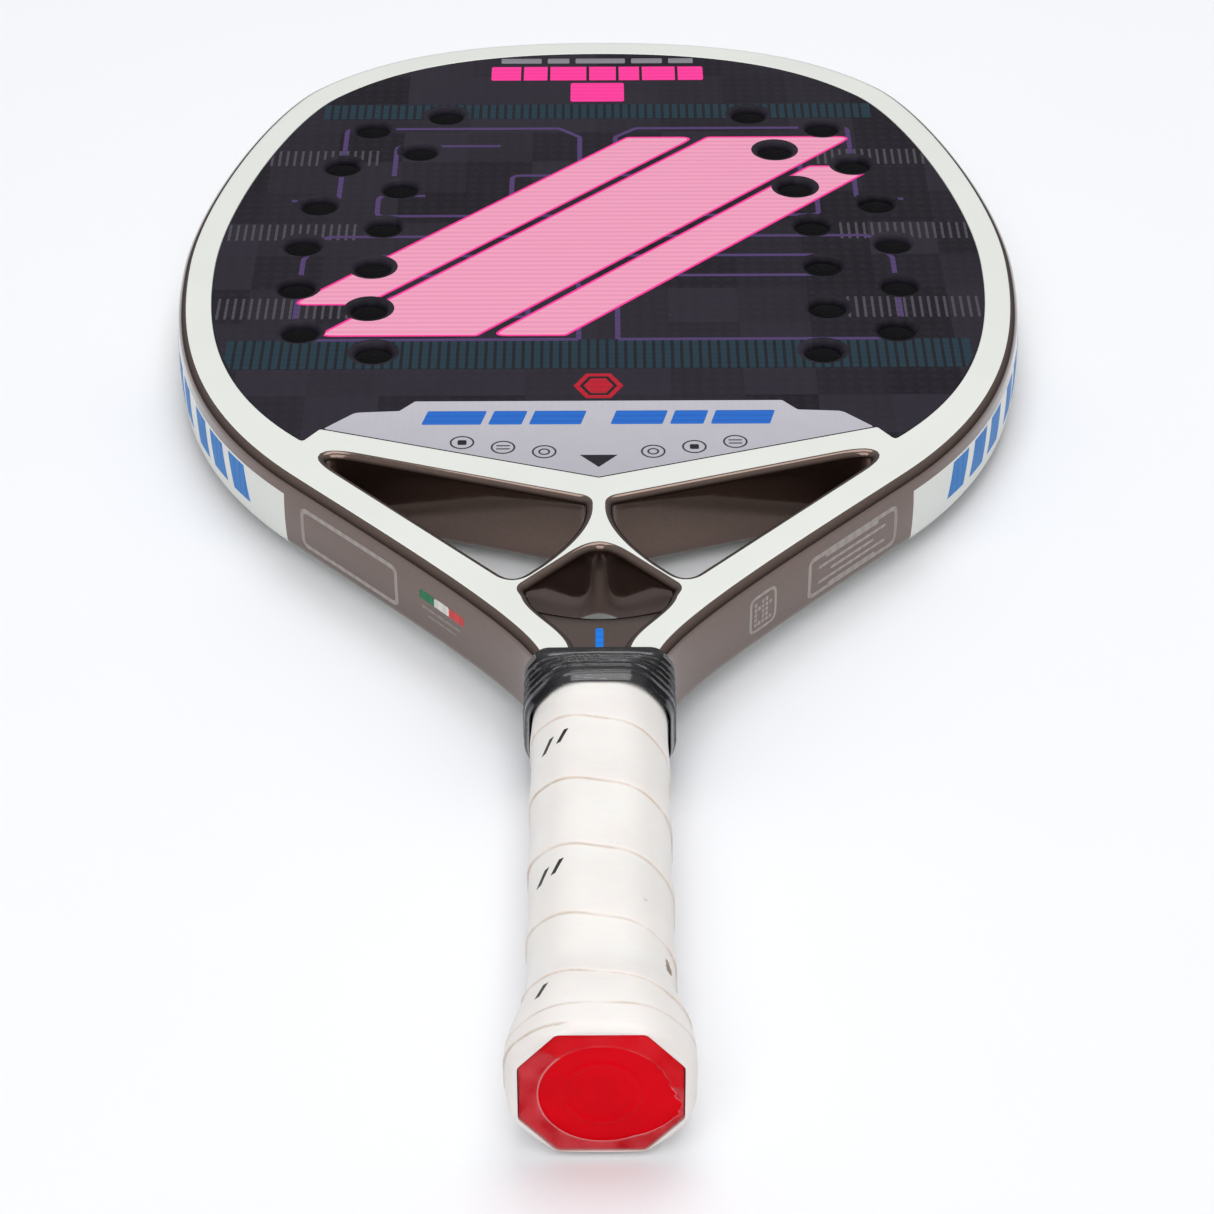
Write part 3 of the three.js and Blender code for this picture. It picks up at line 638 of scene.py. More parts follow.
def clear_film():
    """Heat-shrunk wrapping film: clear and glossy, painted milky and more opaque below a slanted line
    as a painted reflection, with painted highlights along its edge there.
    """
    made, add, at = empty_material("shrink_film")
    inputs = {"IOR": 1.5, "Roughness": 0.06, "Specular IOR Level": 0.35}
    painted_sheen = add("Attribute", output="Fac", attribute_name="painted_sheen")
    ripple = add("TexNoise", sized(at, 6))
    tone = over(add, ripple, 0.35, 0.65, 1.0, linear("#D01020"), linear("#F0606A"))
    # Painted reflection: the film is made paler and more opaque below a slanted line, and its edge rows
    # there are painted pale pink as a painted highlight
    inputs["Base Color"] = over(add, painted_sheen, 1.1, 1.6, 0.8, tone, linear("#FFD0D2"))
    inputs["Alpha"] = add("Math", (painted_sheen, 0.22, 0.05), operation="MULTIPLY_ADD")
    return finished(made, add, inputs, ripple, 0.25)


# ------------------------------------------------------------------ printed graphics


def slab_rect(left, right, low, high, radius=0.0):
    """A rectangle, with rounded corners if a radius is given."""
    corners = [(left, low, radius), (right, low, radius), (right, high, radius), (left, high, radius)]
    return rounded(corners, 5)


def stroke(points, width, radius=2.5):
    """A line of a given width along a path with rounded turns: the path moved to each side."""
    corners = [(*points[0], 0)] + [(*p, radius) for p in points[1:-1]] + [(*points[-1], 0)]
    line = rounded(corners, 5)
    step = heading(line)
    side = np.stack([-step[:, 1], step[:, 0]], 1) * width / 2
    return np.concatenate([line + side, (line - side)[::-1]])


def tiles(left, width, low, high, slant, across=4, up=5):
    """A slanted block cut into small quads, so that it can follow a curved wall."""
    x, y = np.meshgrid(np.linspace(0, width, across + 1), np.linspace(0, 1, up + 1))
    corners = np.stack([left + x + slant * y, low + (high - low) * y], 2)
    cells = np.stack([corners[:-1, :-1], corners[:-1, 1:], corners[1:, 1:], corners[1:, :-1]], 2)
    return list(cells.reshape(-1, 4, 2))


def both_sides(outlines):
    """Each outline and its mirror image."""
    return [shape for outline in outlines for shape in (outline, outline * [-1, 1])]


def print_piece(name, layers, colours, place, within=None):
    """A closed film of ink. `place` turns plan points and a lift into points of the racket.

    The outlines are filled, copied at the lower side and joined along every edge that only one
    triangle uses. Each triangle carries its ink's colour.
    """
    plan, triangles, inks = painted(layers, within)
    edges = triangles[:, [[0, 1], [1, 2], [2, 0]]].reshape(-1, 2)
    _, first, count = np.unique(np.sort(edges, axis=1), axis=0, return_index=True, return_counts=True)
    rim = edges[first[count == 1]]
    total = len(plan)
    walls = np.column_stack([rim[:, 0], rim[:, 0] + total, rim[:, 1] + total, rim[:, 1]])
    wall_inks = np.repeat(inks, 3)[first[count == 1]]
    points = np.concatenate([place(plan, INK), place(plan, INK_ROOT)])
    parts = [(points, triangles, inks), (points, triangles[:, ::-1] + total, inks)]
    parts.append((points, walls, wall_inks))
    made = make_piece(name, parts, [bpy.data.materials["screen_ink"]], ())
    polygons = made.data.polygons
    numbers, sizes = np.zeros(len(polygons), np.int32), np.zeros(len(polygons), np.int32)
    polygons.foreach_get("material_index", numbers)
    polygons.foreach_get("loop_total", sizes)
    table = np.array([linear(code) for code in colours], np.float32)
    attribute = made.data.color_attributes.new("ink", "FLOAT_COLOR", "CORNER")
    attribute.data.foreach_set("color", table[np.repeat(numbers, sizes)].ravel())
    polygons.foreach_set("material_index", np.zeros(len(polygons), np.int32))


FACE_INKS = ["#4E3B6A", "#1D3440", "#12181E", "#4A484E", "#EFA0BC"]
FACE_INKS += ["#FF3A9C", "#87858B", "#B8142A", "#1B1A1F"]
PURPLE, TEAL, TICK, GREY, PINK, HOT, PALE, RED, DARK = range(len(FACE_INKS))


def face_layers():
    """The decoration of a face, ink by ink, with the holes cut out of it."""
    layers = []
    for low, high, reach in ((282, 298, 104), (437, 447, 86)):
        layers.append((slab_rect(-reach, reach, low, high), TEAL))
        ticks = np.arange(2 - reach, reach - 1, 2.6)
        layers += [(slab_rect(x, x + 0.9, low, high), TICK) for x in ticks]
    for low, high in ((310, 322), (357, 367), (405, 415)):
        reach = 108 - 0.0011 * (low - 340) ** 2
        marks = [slab_rect(x, x + 0.8, low, high) for x in np.arange(reach - 36, reach + 2, 2.3)]
        layers += [(shape, GREY) for shape in both_sides(marks)]
    lines = [
        [(5.5, 298), (5.5, 330), (12, 335), (68, 335), (68, 347), (5.5, 347)],
        [(5.5, 298), (86, 298), (86, 345), (80, 359), (5.5, 359)],
        [(20, 311), (60, 311), (60, 323), (20, 323), (20, 311.5)],
        [(5.5, 372), (66, 372), (66, 385), (52, 385)],
        [(92, 382), (78, 382), (78, 430), (12, 430), (5.5, 424), (5.5, 398), (26, 398), (26, 384)],
        [(62, 398), (62, 418), (30, 418)],
    ]
    layers += [(shape, PURPLE) for shape in both_sides([stroke(line, 1.5) for line in lines])]
    # Three parallel bars that lean across the face
    for middle, width, foot, top in ((0, 23, 300, 424), (-37, 11, 318, 424), (37, 11, 300, 404)):
        ends = ((-1, foot), (1, foot), (1, top), (-1, top))
        bar = rounded([(middle + 0.92 * (y - 362) + side * width, y, 2.5) for side, y in ends], 6)
        layers += [(bar, HOT), (bar - 0.8 * outward(bar), PINK)]
    layers.append((slab_rect(-34, 34, 464.5, 474.5, 1), HOT))
    layers += [(slab_rect(x, x + 0.9, 464.5, 474.5), DARK) for x in (-24.5, -16, -3.5, 6, 13.5, 25)]
    layers.append((slab_rect(-8.5, 8.5, 449, 462.5, 1), HOT))
    for left, right in ((-31, -18), (-16, -9), (-7, 9), (11, 21), (23, 31)):
        layers.append((slab_rect(left, right, 477.0, 480.6, 0.5), PALE))
    badge = circle((0, 0), 7.6, 6) * [0.9, 1]
    layers += [(badge * size + [0, 272.5], ink) for size, ink in ((1, RED), (0.76, DARK), (0.6, RED))]
    layers += [(circle(centre, HOLE_RADIUS + 2.25), -1) for centre in hole_centres()]
    return layers


def film_outline():
    """The film at the foot of the face: straight top, stepped shoulders and the face's V."""
    top = HEAD_FOOT + 39
    corners = [(50, top, 1.0), (54, top - 5, 1.0), (66, top - 5.8, 4.0), (74.0, HEAD_FOOT + 24.95, 0.5)]
    half = rounded([(0, top, 0), *corners, (0, HEAD_FOOT + 0.3, 0)], 6)
    return mirrored(half)


FILM_INKS = ["#2369C4", "#3A383E", "#232227"]
BLUE, ICON, BLACK = range(len(FILM_INKS))


def film_layers():
    """Plain marks on the film: a row of blue blocks, six ringed signs and a black wedge."""
    layers = []
    for left, right in ((-47, -31), (-29, -20), (-18, -4), (4, 18), (20, 29), (31, 47)):
        corners = ((left, 252.2), (right, 252.2), (right + 1.6, 259.2), (left + 1.6, 259.2))
        layers.append((rounded([(*corner, 0.5) for corner in corners], 4) - [0.8, 0], BLUE))
    places = ((-36.5, 243), (-25.5, 240.5), (-14.5, 238.2), (14.5, 238.2), (25.5, 240.5), (36.5, 243))
    for (x, y), sign in zip(places, ("block", "bars", "ring", "ring", "block", "bars")):
        layers += [(circle((x, y), 3.3, 28), ICON), (circle((x, y), 2.8, 28), -1)]
        if sign == "block":
            layers.append((slab_rect(x - 1.2, x + 1.2, y - 1.2, y + 1.2, 0.5), BLACK))
        elif sign == "bars":
            bars = [slab_rect(x - 1.8, x + 1.8, y + s - 0.25, y + s + 0.25) for s in (-0.8, 0.8)]
            layers += [(bar, ICON) for bar in bars]
        else:
            layers += [(circle((x, y), 1.6, 20), ICON), (circle((x, y), 1.1, 20), -1)]
    layers.append((np.array([(-5.0, 236.5), (5.0, 236.5), (0.0, 230.5)]), BLACK))
    return layers


# ------------------------------------------------------------------ settings


def length_property(name, description, default, low, high):
    """A length setting; its default and its limits are given in millimetres."""
    values = {"default": default * MM, "min": low * MM, "max": high * MM}
    return FloatProperty(name=name, description=description, unit="LENGTH", precision=4, **values)


def lengths(*names):
    """The named length settings in millimetres."""
    sizes = bpy.context.scene.racket_sizes
    return [round(getattr(sizes, name) / MM, 4) for name in names]


def colour_property(name, description, code):
    """A colour setting with its default given in sRGB hex."""
    values = {"subtype": "COLOR", "min": 0, "max": 1, "default": linear(code)[:3]}
    return FloatVectorProperty(name=name, description=description, **values)


class RacketSizes(bpy.types.PropertyGroup):
    """Sizes of the visible surfaces"""

    # The struts of the throat are 4.4 mm wide, which limits the radius of the openings' edges
    edge_radius: length_property("Frame edge", "Radius of the frame's outer edges", 3.0, 0.5, 5)
    opening_radius: length_property("Opening edge", "Radius of the openings' edges", 2.0, 0.3, 2.1)
    hole_radius: length_property("Hole edge", "Radius of the drilled holes' edges", 2.0, 0.2, 2.2)
    side_bulge: length_property("Side bulge", "Crown of the frame's side walls", 0.35, 0, 1)
    seam_step: length_property("Seam step", "Step at the overgrip's overlaps", 0.42, 0, 1)
    tape_ridge: length_property("Tape ridge", "Height of the tape's layers", 0.5, 0, 0.8)
    floor_tilt: FloatProperty(
        name="Floor tilt",
        description="Slope of the floor under butt and head",
        default=math.atan(7 / 490),
        subtype="ANGLE",
    )
    steps_round: IntProperty(
        name="Steps round", description="Points round the overgrip", default=128, min=48, max=160
    )


class RacketColours(bpy.types.PropertyGroup):
    """Colours of the finishes"""

    lacquer: colour_property("Lacquer", "White lacquer of the frame", "#E6E8E1")
    bronze: colour_property("Bronze", "Bronze flake lacquer of edges and throat", "#655249")
    laminate: colour_property("Laminate", "Carbon laminate of the faces", "#25212A")
    film: colour_property("Film", "Film at the foot of the face", "#BEBBC3")
    wrap: colour_property("Overgrip", "Overgrip of the handle", "#F5EEE9")
    cap: colour_property("Cap", "Butt cap", "#E00014")
    floor: colour_property("Floor", "Studio floor", "#F4F5F7")


# ------------------------------------------------------------------ pieces


class RACKET_OT_frame(bpy.types.Operator):
    """Frame, bridge and yoke as one lacquered moulding"""

    bl_idname = "racket.frame"
    bl_label = "Frame"

    def execute(self, context):
        edge, opening, bulge = lengths("edge_radius", "opening_radius", "side_bulge")
        white, bronze = white_lacquer(), bronze_lacquer()
        screen_ink()  # made here once, and found by its name when a piece is printed
        outside, face = frame_loop(), face_loop()
        profile = edge_profile(edge, -HALF_DEPTH, HALF_DEPTH, 1, bulge=bulge)
        points, faces = swept(outside, profile)
        # White on the flats, on the head's wall and where that turns into its lower edge; bronze on
        # the other rounded edges and on the throat's wall
        count = len(profile) - 1
        rows = np.repeat(np.arange(count), len(outside))
        on_head = outside[:, 1] > PAINT_LINE - 0.1
        head = np.tile(on_head & np.roll(on_head, -1), count)
        wall = (rows >= 9) & (rows < count - 5)
        flat = (rows < 2) | (rows > count - 3)
        parts = [(points, faces, np.where(flat | (wall & head), 0, 1))]
        tops = [outside - (edge + 0.4) * outward(outside)]
        parts.append((*swept(face, edge_profile(0.3, -HALF_DEPTH, HALF_DEPTH, -1, 0.3, 3)), 0))
        tops.append(face + 0.6 * outward(face))
        for loop in (side_opening(), side_opening() * [-1, 1], arch_opening()):
            profile = edge_profile(opening, -HALF_DEPTH, HALF_DEPTH, -1, 0.1)
            strip = np.repeat(np.arange(len(profile) - 1), len(loop))
            paint = np.where((strip < 1) | (strip > len(profile) - 3), 0, 1)
            parts.append((*swept(loop, profile), paint))
            tops.append(loop + (opening + 0.1) * outward(loop))
        parts += [(*flat_part(tops, height), 0) for height in (HALF_DEPTH, -HALF_DEPTH)]
        nodes = ("frame_tube", "throat_bridge", "throat_yoke")
        make_piece("frame_moulding", parts, [white, bronze], nodes)
        return {"FINISHED"}


class RACKET_OT_web(bpy.types.Operator):
    """Web between the legs, its end rounded down into the throat, with a blue mark"""

    bl_idname = "racket.web"
    bl_label = "Web"

    def execute(self, context):
        top, end = WEB_HALF_DEPTH, HANDLE_TOP + WEB_REACH
        curve = bezier([(end - 7.5, top), (end - 2.8, top), (end - 0.2, top - 1.8), (end, top - 8)], 14)
        upper = np.concatenate([[(HIDDEN_END + 1, top)], curve, [(end, 0)]])
        profile = np.concatenate([upper, upper[-2::-1] * [1, -1]])
        side = arch_opening()
        side = side[(side[:, 0] > 0) & (side[:, 1] < 171.5)]
        side = side[np.argsort(side[:, 1])]
        across = np.linspace(-1, 1, 17)
        # The end is hollowed in the middle, and its corners run up the legs
        reach = np.clip((profile[:, :1] - end + 12) / 12, 0, 1)
        y = profile[:, :1] + 6.5 * across[None] ** 2 * reach**2
        x = across[None] * (np.interp(y, side[:, 1], side[:, 0]) + 0.6)
        z = np.broadcast_to(profile[:, 1:], x.shape)
        points = np.stack([x, y, z], 2).reshape(-1, 3)
        parts = [(points, grid_faces(len(profile), len(across), True, False), 0)]
        rims = np.arange(len(profile)) * len(across)
        parts += [(points, [cap.tolist()], 0) for cap in (rims[::-1], rims + len(across) - 1)]
        bronze = bpy.data.materials["bronze_flake_lacquer"]
        make_piece("throat_web_moulding", parts, [bronze], ("throat_web",))

        def on_web(plan, lift):
            """Flat on the web's top, and down its rounded end by the end's own curve."""
            level = np.interp(plan[:, 1], curve[:, 0], curve[:, 1])
            return np.column_stack([plan, level + lift])

        corners = [(-0.95, 149.6, 0), (0.95, 149.6, 0), (0.95, 157.6, 0.3), (-0.95, 157.6, 0.3)]
        mark = spaced(rounded(corners, 3), 40)
        print_piece("web_mark", [(mark, 0)], ["#0F7BE0"], on_web)
        return {"FINISHED"}


class RACKET_OT_faces(bpy.types.Operator):
    """Front and rear laminate with rounded holes, and the foam between them"""

    bl_idname = "racket.faces"
    bl_label = "Faces and core"

    def execute(self, context):
        (fillet,) = lengths("hole_radius")
        laminate = [carbon_laminate()]
        foam = cell_foam("black_eva_foam", "#17171A", 0.6, 0.8, 0.95)
        inner = HALF_DEPTH - fillet - 0.2
        front = drilled_part(inner, HALF_DEPTH, (fillet, 0.05))
        make_piece("front_sheet", front, laminate, ("front_face",))
        rear = drilled_part(-HALF_DEPTH, -inner, (0.05, fillet))
        make_piece("rear_sheet", rear, laminate, ("rear_face",))
        core = drilled_part(0.1 - inner, inner - 0.1, (0.05, 0.05), 0.2, 0.2)
        make_piece("foam_slab", core, [foam], ("foam_core",))
        return {"FINISHED"}


def laid_flat(side, rise=0.0):
    """Places plan points on the front (side 1) or the rear (side -1), `rise` and a lift above it."""

    def place(plan, lift):
        return np.column_stack([plan, np.full(len(plan), side * (HALF_DEPTH + rise + lift))])

    return place


class RACKET_OT_prints(bpy.types.Operator):
    """Decoration of both faces, the lilac films and the marks on them"""

    bl_idname = "racket.prints"
    bl_label = "Printed decoration"

    def execute(self, context):
        film = silver_film()
        outline = film_outline()
        # The film's edge: flat rim, small chamfer, wall down to its root in the lacquer, and back
        rim_width, root = 0.3, -0.2
        profile = [(-rim_width, FILM), (-0.06, FILM), (0, 0), (0, root), (-rim_width, root)]
        rim = outline - rim_width * outward(outline)
        # No ink nearer to the frame than this
        face = face_loop() - 0.7 * outward(face_loop())
        for name, side in (("front", 1), ("rear", -1)):
            place = laid_flat(side)
            print_piece(name + "_print", face_layers(), FACE_INKS, place, face)
            points, faces = swept(outline, profile)
            points[:, 2] = side * (HALF_DEPTH + points[:, 2])
            parts = [(points, faces, 0)]
            parts += [(*flat_part([rim], side * (HALF_DEPTH + lift)), 0) for lift in (FILM, root)]
            make_piece(name + "_film", parts, [film], (name + "_throat_decal",))
            place = laid_flat(side, FILM)
            print_piece(name + "_film_print", film_layers(), FILM_INKS, place)
        return {"FINISHED"}


def on_wall(line, side, sign):
    """Places plan points on a side wall of the frame: x along the wall's line, y up the wall.

    The wall's crown and the lift move a point along the line's normal, which is its direction
    turned a quarter, to the left for sign 1. `side` mirrors it to the racket's left or right.
    """
    edge, bulge = lengths("edge_radius", "side_bulge")
    run, step = running(line), heading(line)
    normal = sign * np.stack([-step[:, 1], step[:, 0]], 1)

    def place(plan, lift):
        at = [np.interp(plan[:, 0], run, values) for values in (*line.T, *normal.T)]
        out = bulge * (1 - (plan[:, 1] / (HALF_DEPTH - edge)) ** 2) + lift
        return np.column_stack([side * (at[0] + at[2] * out), at[1] + at[3] * out, plan[:, 1]])

    return place


def fine(outline):
    """An outline with points no more than about 1 mm apart, so that it follows the wall."""
    length = np.linalg.norm(np.roll(outline, -1, 0) - outline, axis=1).sum()
    return spaced(outline, max(12, int(length)))


def outlined(left, right, low, high, line_width=1.3):
    """Layers of a rounded rectangle drawn as a line: the shape, and a smaller one cut out of it."""
    outer = slab_rect(left, right, low, high, 2.5)
    return [(fine(outer), 0), (fine(outer - line_width * outward(outer)), -1)]


class RACKET_OT_side_marks(bpy.types.Operator):
    """Outlined panels, stripes and small marks on the throat's side walls, blocks on the head's"""

    bl_idname = "racket.side_marks"
    bl_label = "Side marks"

    def execute(self, context):
        # Plain slanted blocks on the white sides of the head
        starts = (14, 27, 40, 57, 70, 83)
        blocks = [(tile, 0) for start in starts for tile in tiles(start, 9.0, -5.4, 5.0, 2.5)]
        head = head_side()[::-1]
        for name, side in (("left_head_marks", -1), ("right_head_marks", 1)):
            print_piece(name, blocks, ["#3C86CF"], on_wall(head, side, -1))

        left = outlined(7, 47, -7.2, 5.2)
        left += [(fine(slab_rect(56 + 6 * k, 62 + 6 * k, 1.0, 3.6)), 1 + k) for k in range(3)]
        left += [(fine(slab_rect(57, 73, -1.6, -0.6)), 4), (fine(slab_rect(59, 71, -3.6, -2.8)), 4)]
        right = outlined(7, 44, -7.2, 5.2)
        for k, reach in enumerate((11, 14, 9, 14, 10)):
            right.append((fine(slab_rect(26 - reach, 26 + reach, 3.0 - 2.3 * k, 3.9 - 2.3 * k)), 0))
        # A square field of cells, in which every third place stays empty
        right += outlined(57, 68, -5.8, 5.2, 0.9)
        cells = [(i, j) for i in range(5) for j in range(5) if (i * 3 + j * j + i * j) % 3 != 1]
        for x, z in ((59.0 + 1.5 * i, -3.9 + 1.5 * j) for i, j in cells):
            right.append((slab_rect(x, x + 1.1, z, z + 1.1), 0))
        inks = ["#A8A19B", "#2E7D55", "#E4E2DC", "#D8504E", "#8E8883"]
        throat = throat_side(400)
        for name, side, layers in (("left_side_marks", -1, left), ("right_side_marks", 1, right)):
            print_piece(name, layers, inks, on_wall(throat, side, 1))
        return {"FINISHED"}


def octagon(half, extra, radius, flats=FLATS, count=144):
    """An octagon of the X-Z plane, `extra` wider all round, with rounded corners and even points.

    It starts in the middle of its left side and runs over the top.
    """
    half = (half[0] + extra, half[1] + extra)
    a, b = half[0] * flats[0], half[1] * flats[1]
    corners = [(-half[0], b), (-a, half[1]), (a, half[1]), (half[0], b)]
    corners += [(-x, -z) for x, z in corners]
    turned = rounded([(x, z, radius) for x, z in corners], 8)
    return spaced(np.concatenate([[(-half[0], 0)], turned]), count)


def swell(y):
    """Share of the flare: nothing above, rising by a smooth step, with the rim tucked in a little."""
    share = np.clip((y - 9) / 21, 0, 1)
    flare = 1 - share**2 * (3 - 2 * share)
    tuck = 0.3 * (np.clip(6 - y, 0, 6) / 6) ** 2
    return flare * (1 - tuck)


def flared(section, y):
    """A section at each distance y along the handle, widened by its share of the flare."""
    return section[None] * (1 + swell(y)[:, None] * FLARE)[:, None]


def stood(plan, y):
    """Rows of (X, Z) points with their distance along the handle put in as Y."""
    return np.stack([plan[..., 0], np.broadcast_to(y[:, None], plan.shape[:2]), plan[..., 1]], 2)


def ringed(rings):
    """One part from rows of rings, each joined to the next and the last to the first."""
    points = np.concatenate(rings)
    faces = grid_faces(points.shape[0], points.shape[1], wrap_rows=True)
    return [(points.reshape(-1, 3), faces, 0)]


class RACKET_OT_overgrip(bpy.types.Operator):
    """Overgrip wound in a spiral, flared over the butt cap's rim, and the cushion under it"""

    bl_idname = "racket.overgrip"
    bl_label = "Overgrip"

    def execute(self, context):
        (seam_step,) = lengths("seam_step")
        count = context.scene.racket_sizes.steps_round
        section = octagon(WRAP_HALF, 0, 12.5, count=count)
        inner = octagon(WRAP_HALF, -0.85, 11.8, count=count)
        cap = octagon(CAP_HALF, 0.25, 1.6, count=count)
        turn = np.arange(count) / count
        y = np.linspace(WRAP_TOP, WRAP_FOOT, 430)
        # How many turns of the strip lie below, and how far round its own turn a point is
        turns = np.interp(y, TURN_EDGES, np.arange(len(TURN_EDGES)) - 1.0)
        phase = np.mod(turns[:, None] + turn[None] - 0.25, 1.0)
        # Just past an edge the strip lies on the turn below it; the step fades over a third of a turn
        lap = np.exp(-((phase / 0.28) ** 2)) * np.clip(phase * PITCH / 0.35, 0, 1)
        wave = np.sin(2 * np.pi * (turn[None] * 3 + y[:, None] / 31)) * np.sin(y[:, None] / 7.3)
        relief = seam_step * (lap - 0.8) + 0.048 * wave
        plan = flared(section, y) + outward(section)[None] * relief[..., None]
        # The rim folds over in a quarter round and runs back inside, against the cap
        angle = np.linspace(0, np.pi / 2, 10)[1:]
        share = (1 - np.cos(angle))[:, None, None]
        fold = plan[-1:] * (1 - share) + cap[None] * share
        back_y = np.array([3.4, 6.0, 12.0, 20.0, 30.0, 60.0, WRAP_TOP])
        back = flared(inner, back_y)
        back[0] = cap
        rings = [stood(plan, y), stood(fold, WRAP_FOOT - 2.9 * np.sin(angle)), stood(back, back_y)]
        edge = np.minimum(phase, 1 - phase) * PITCH
        seam = np.exp(-((edge / 0.24) ** 2))
        # A second fine line runs round the flare, where the strip's end is folded over the cap
        hem = 8.6 + 0.5 * np.sin(2 * np.pi * turn + 0.4)[None]
        seam = np.maximum(seam, 0.7 * np.exp(-(((y[:, None] - hem) / 0.3) ** 2)))
        values = {"seam": np.concatenate([seam, np.zeros((len(fold) + len(back), count))])}
        finish = [tacky_wrap()]
        make_piece("overgrip_wrap", ringed(rings), finish, ("overgrip",), values, 60)

        cushion = cell_foam("perforated_grip", "#1C1C1F", 1.6, 0.75, 0.9)
        around = octagon(WRAP_HALF, -1.3, 11.2, count=count)
        bore = octagon(WRAP_HALF, -2.6, 1.5, count=count)
        y = np.linspace(4.4, WRAP_TOP - 0.3, 60)
        plans = flared(around, y)
        plans[[0, -1]] *= 0.985
        parts = ringed([stood(plans, y), stood(flared(bore, y[::-1]), y[::-1])])
        make_piece("cushion_sleeve", parts, [cushion], ("base_grip",), None, 60)
        return {"FINISHED"}


class RACKET_OT_tape(bpy.types.Operator):
    """Finishing tape in stretched layers, from the overgrip onto the frame"""

    bl_idname = "racket.tape"
    bl_label = "Finishing tape"

    def execute(self, context):
        (ridge,) = lengths("tape_ridge")
        foot, top = HANDLE_TOP - 19.5, HANDLE_TOP + 0.6
        wide = octagon((WRAP_HALF[0] + 1.5, WRAP_HALF[1] + 1.4), 0, 9.5)
        narrow = octagon((18.0, 12.1), 0, 4.5, (0.8, 0.6))
        turn = np.arange(len(wide)) / len(wide)
        y = np.linspace(foot, top, 90)
        # The section goes from the grip's to the frame's by a smooth step
        share = np.clip((y - foot - 3) / (top - foot - 3), 0, 1)
        share = (share**2 * (3 - 2 * share))[:, None, None]
        plan = wide[None] * (1 - share) + narrow[None] * share
        # Each layer's edge stands proud of the one before; the edges run slightly askew
        askew = 0.9 * np.sin(2 * np.pi * turn + 0.6) + 0.35 * np.sin(6 * np.pi * turn)
        layers = np.interp(y[:, None] - foot + askew[None], TAPE_EDGES, np.arange(len(TAPE_EDGES)))
        saw = np.mod(layers, 1.0)
        relief = ridge * (1 - saw) * np.clip(saw * 9, 0, 1)
        # It rises from the overgrip's surface over 4 mm, and its upper edge is rounded
        foot_lip = 1.25 * (1 - np.clip((y - foot) / 4, 0, 1)) ** 1.6
        top_lip = 0.6 * (1 - np.clip((top - y) / 0.8, 0, 1)) ** 2
        relief = relief - (foot_lip + top_lip)[:, None]
        outer = stood(plan + outward(wide)[None] * relief[..., None], y)
        shrink = np.array([0.955, 0.955, 0.96, 0.965, 0.985])[:, None, None]
        inner = outer[[-1, 60, 30, 10, 0]] * shrink ** [1, 0, 1]
        parts = ringed([outer, inner])
        make_piece("tape_collar", parts, [stretch_tape()], ("finishing_tape",), None, 50)
        return {"FINISHED"}


def closed_ends(rings, low_y, high_y):
    """Rings joined one to the next, with a fan round a point on the middle line at each end."""
    count = rings.shape[1]
    here = np.arange(count)
    following = (here + 1) % count
    last = 1 + (len(rings) - 1) * count
    first_fan = np.column_stack([np.zeros(count, int), following + 1, here + 1])
    last_fan = np.column_stack([np.full(count, last + count), here + last, following + last])
    points = np.concatenate([[(0, low_y, 0)], rings.reshape(-1, 3), [(0, high_y, 0)]])
    return [(points, faces, 0) for faces in (grid_faces(len(rings), count) + 1, first_fan, last_fan)]


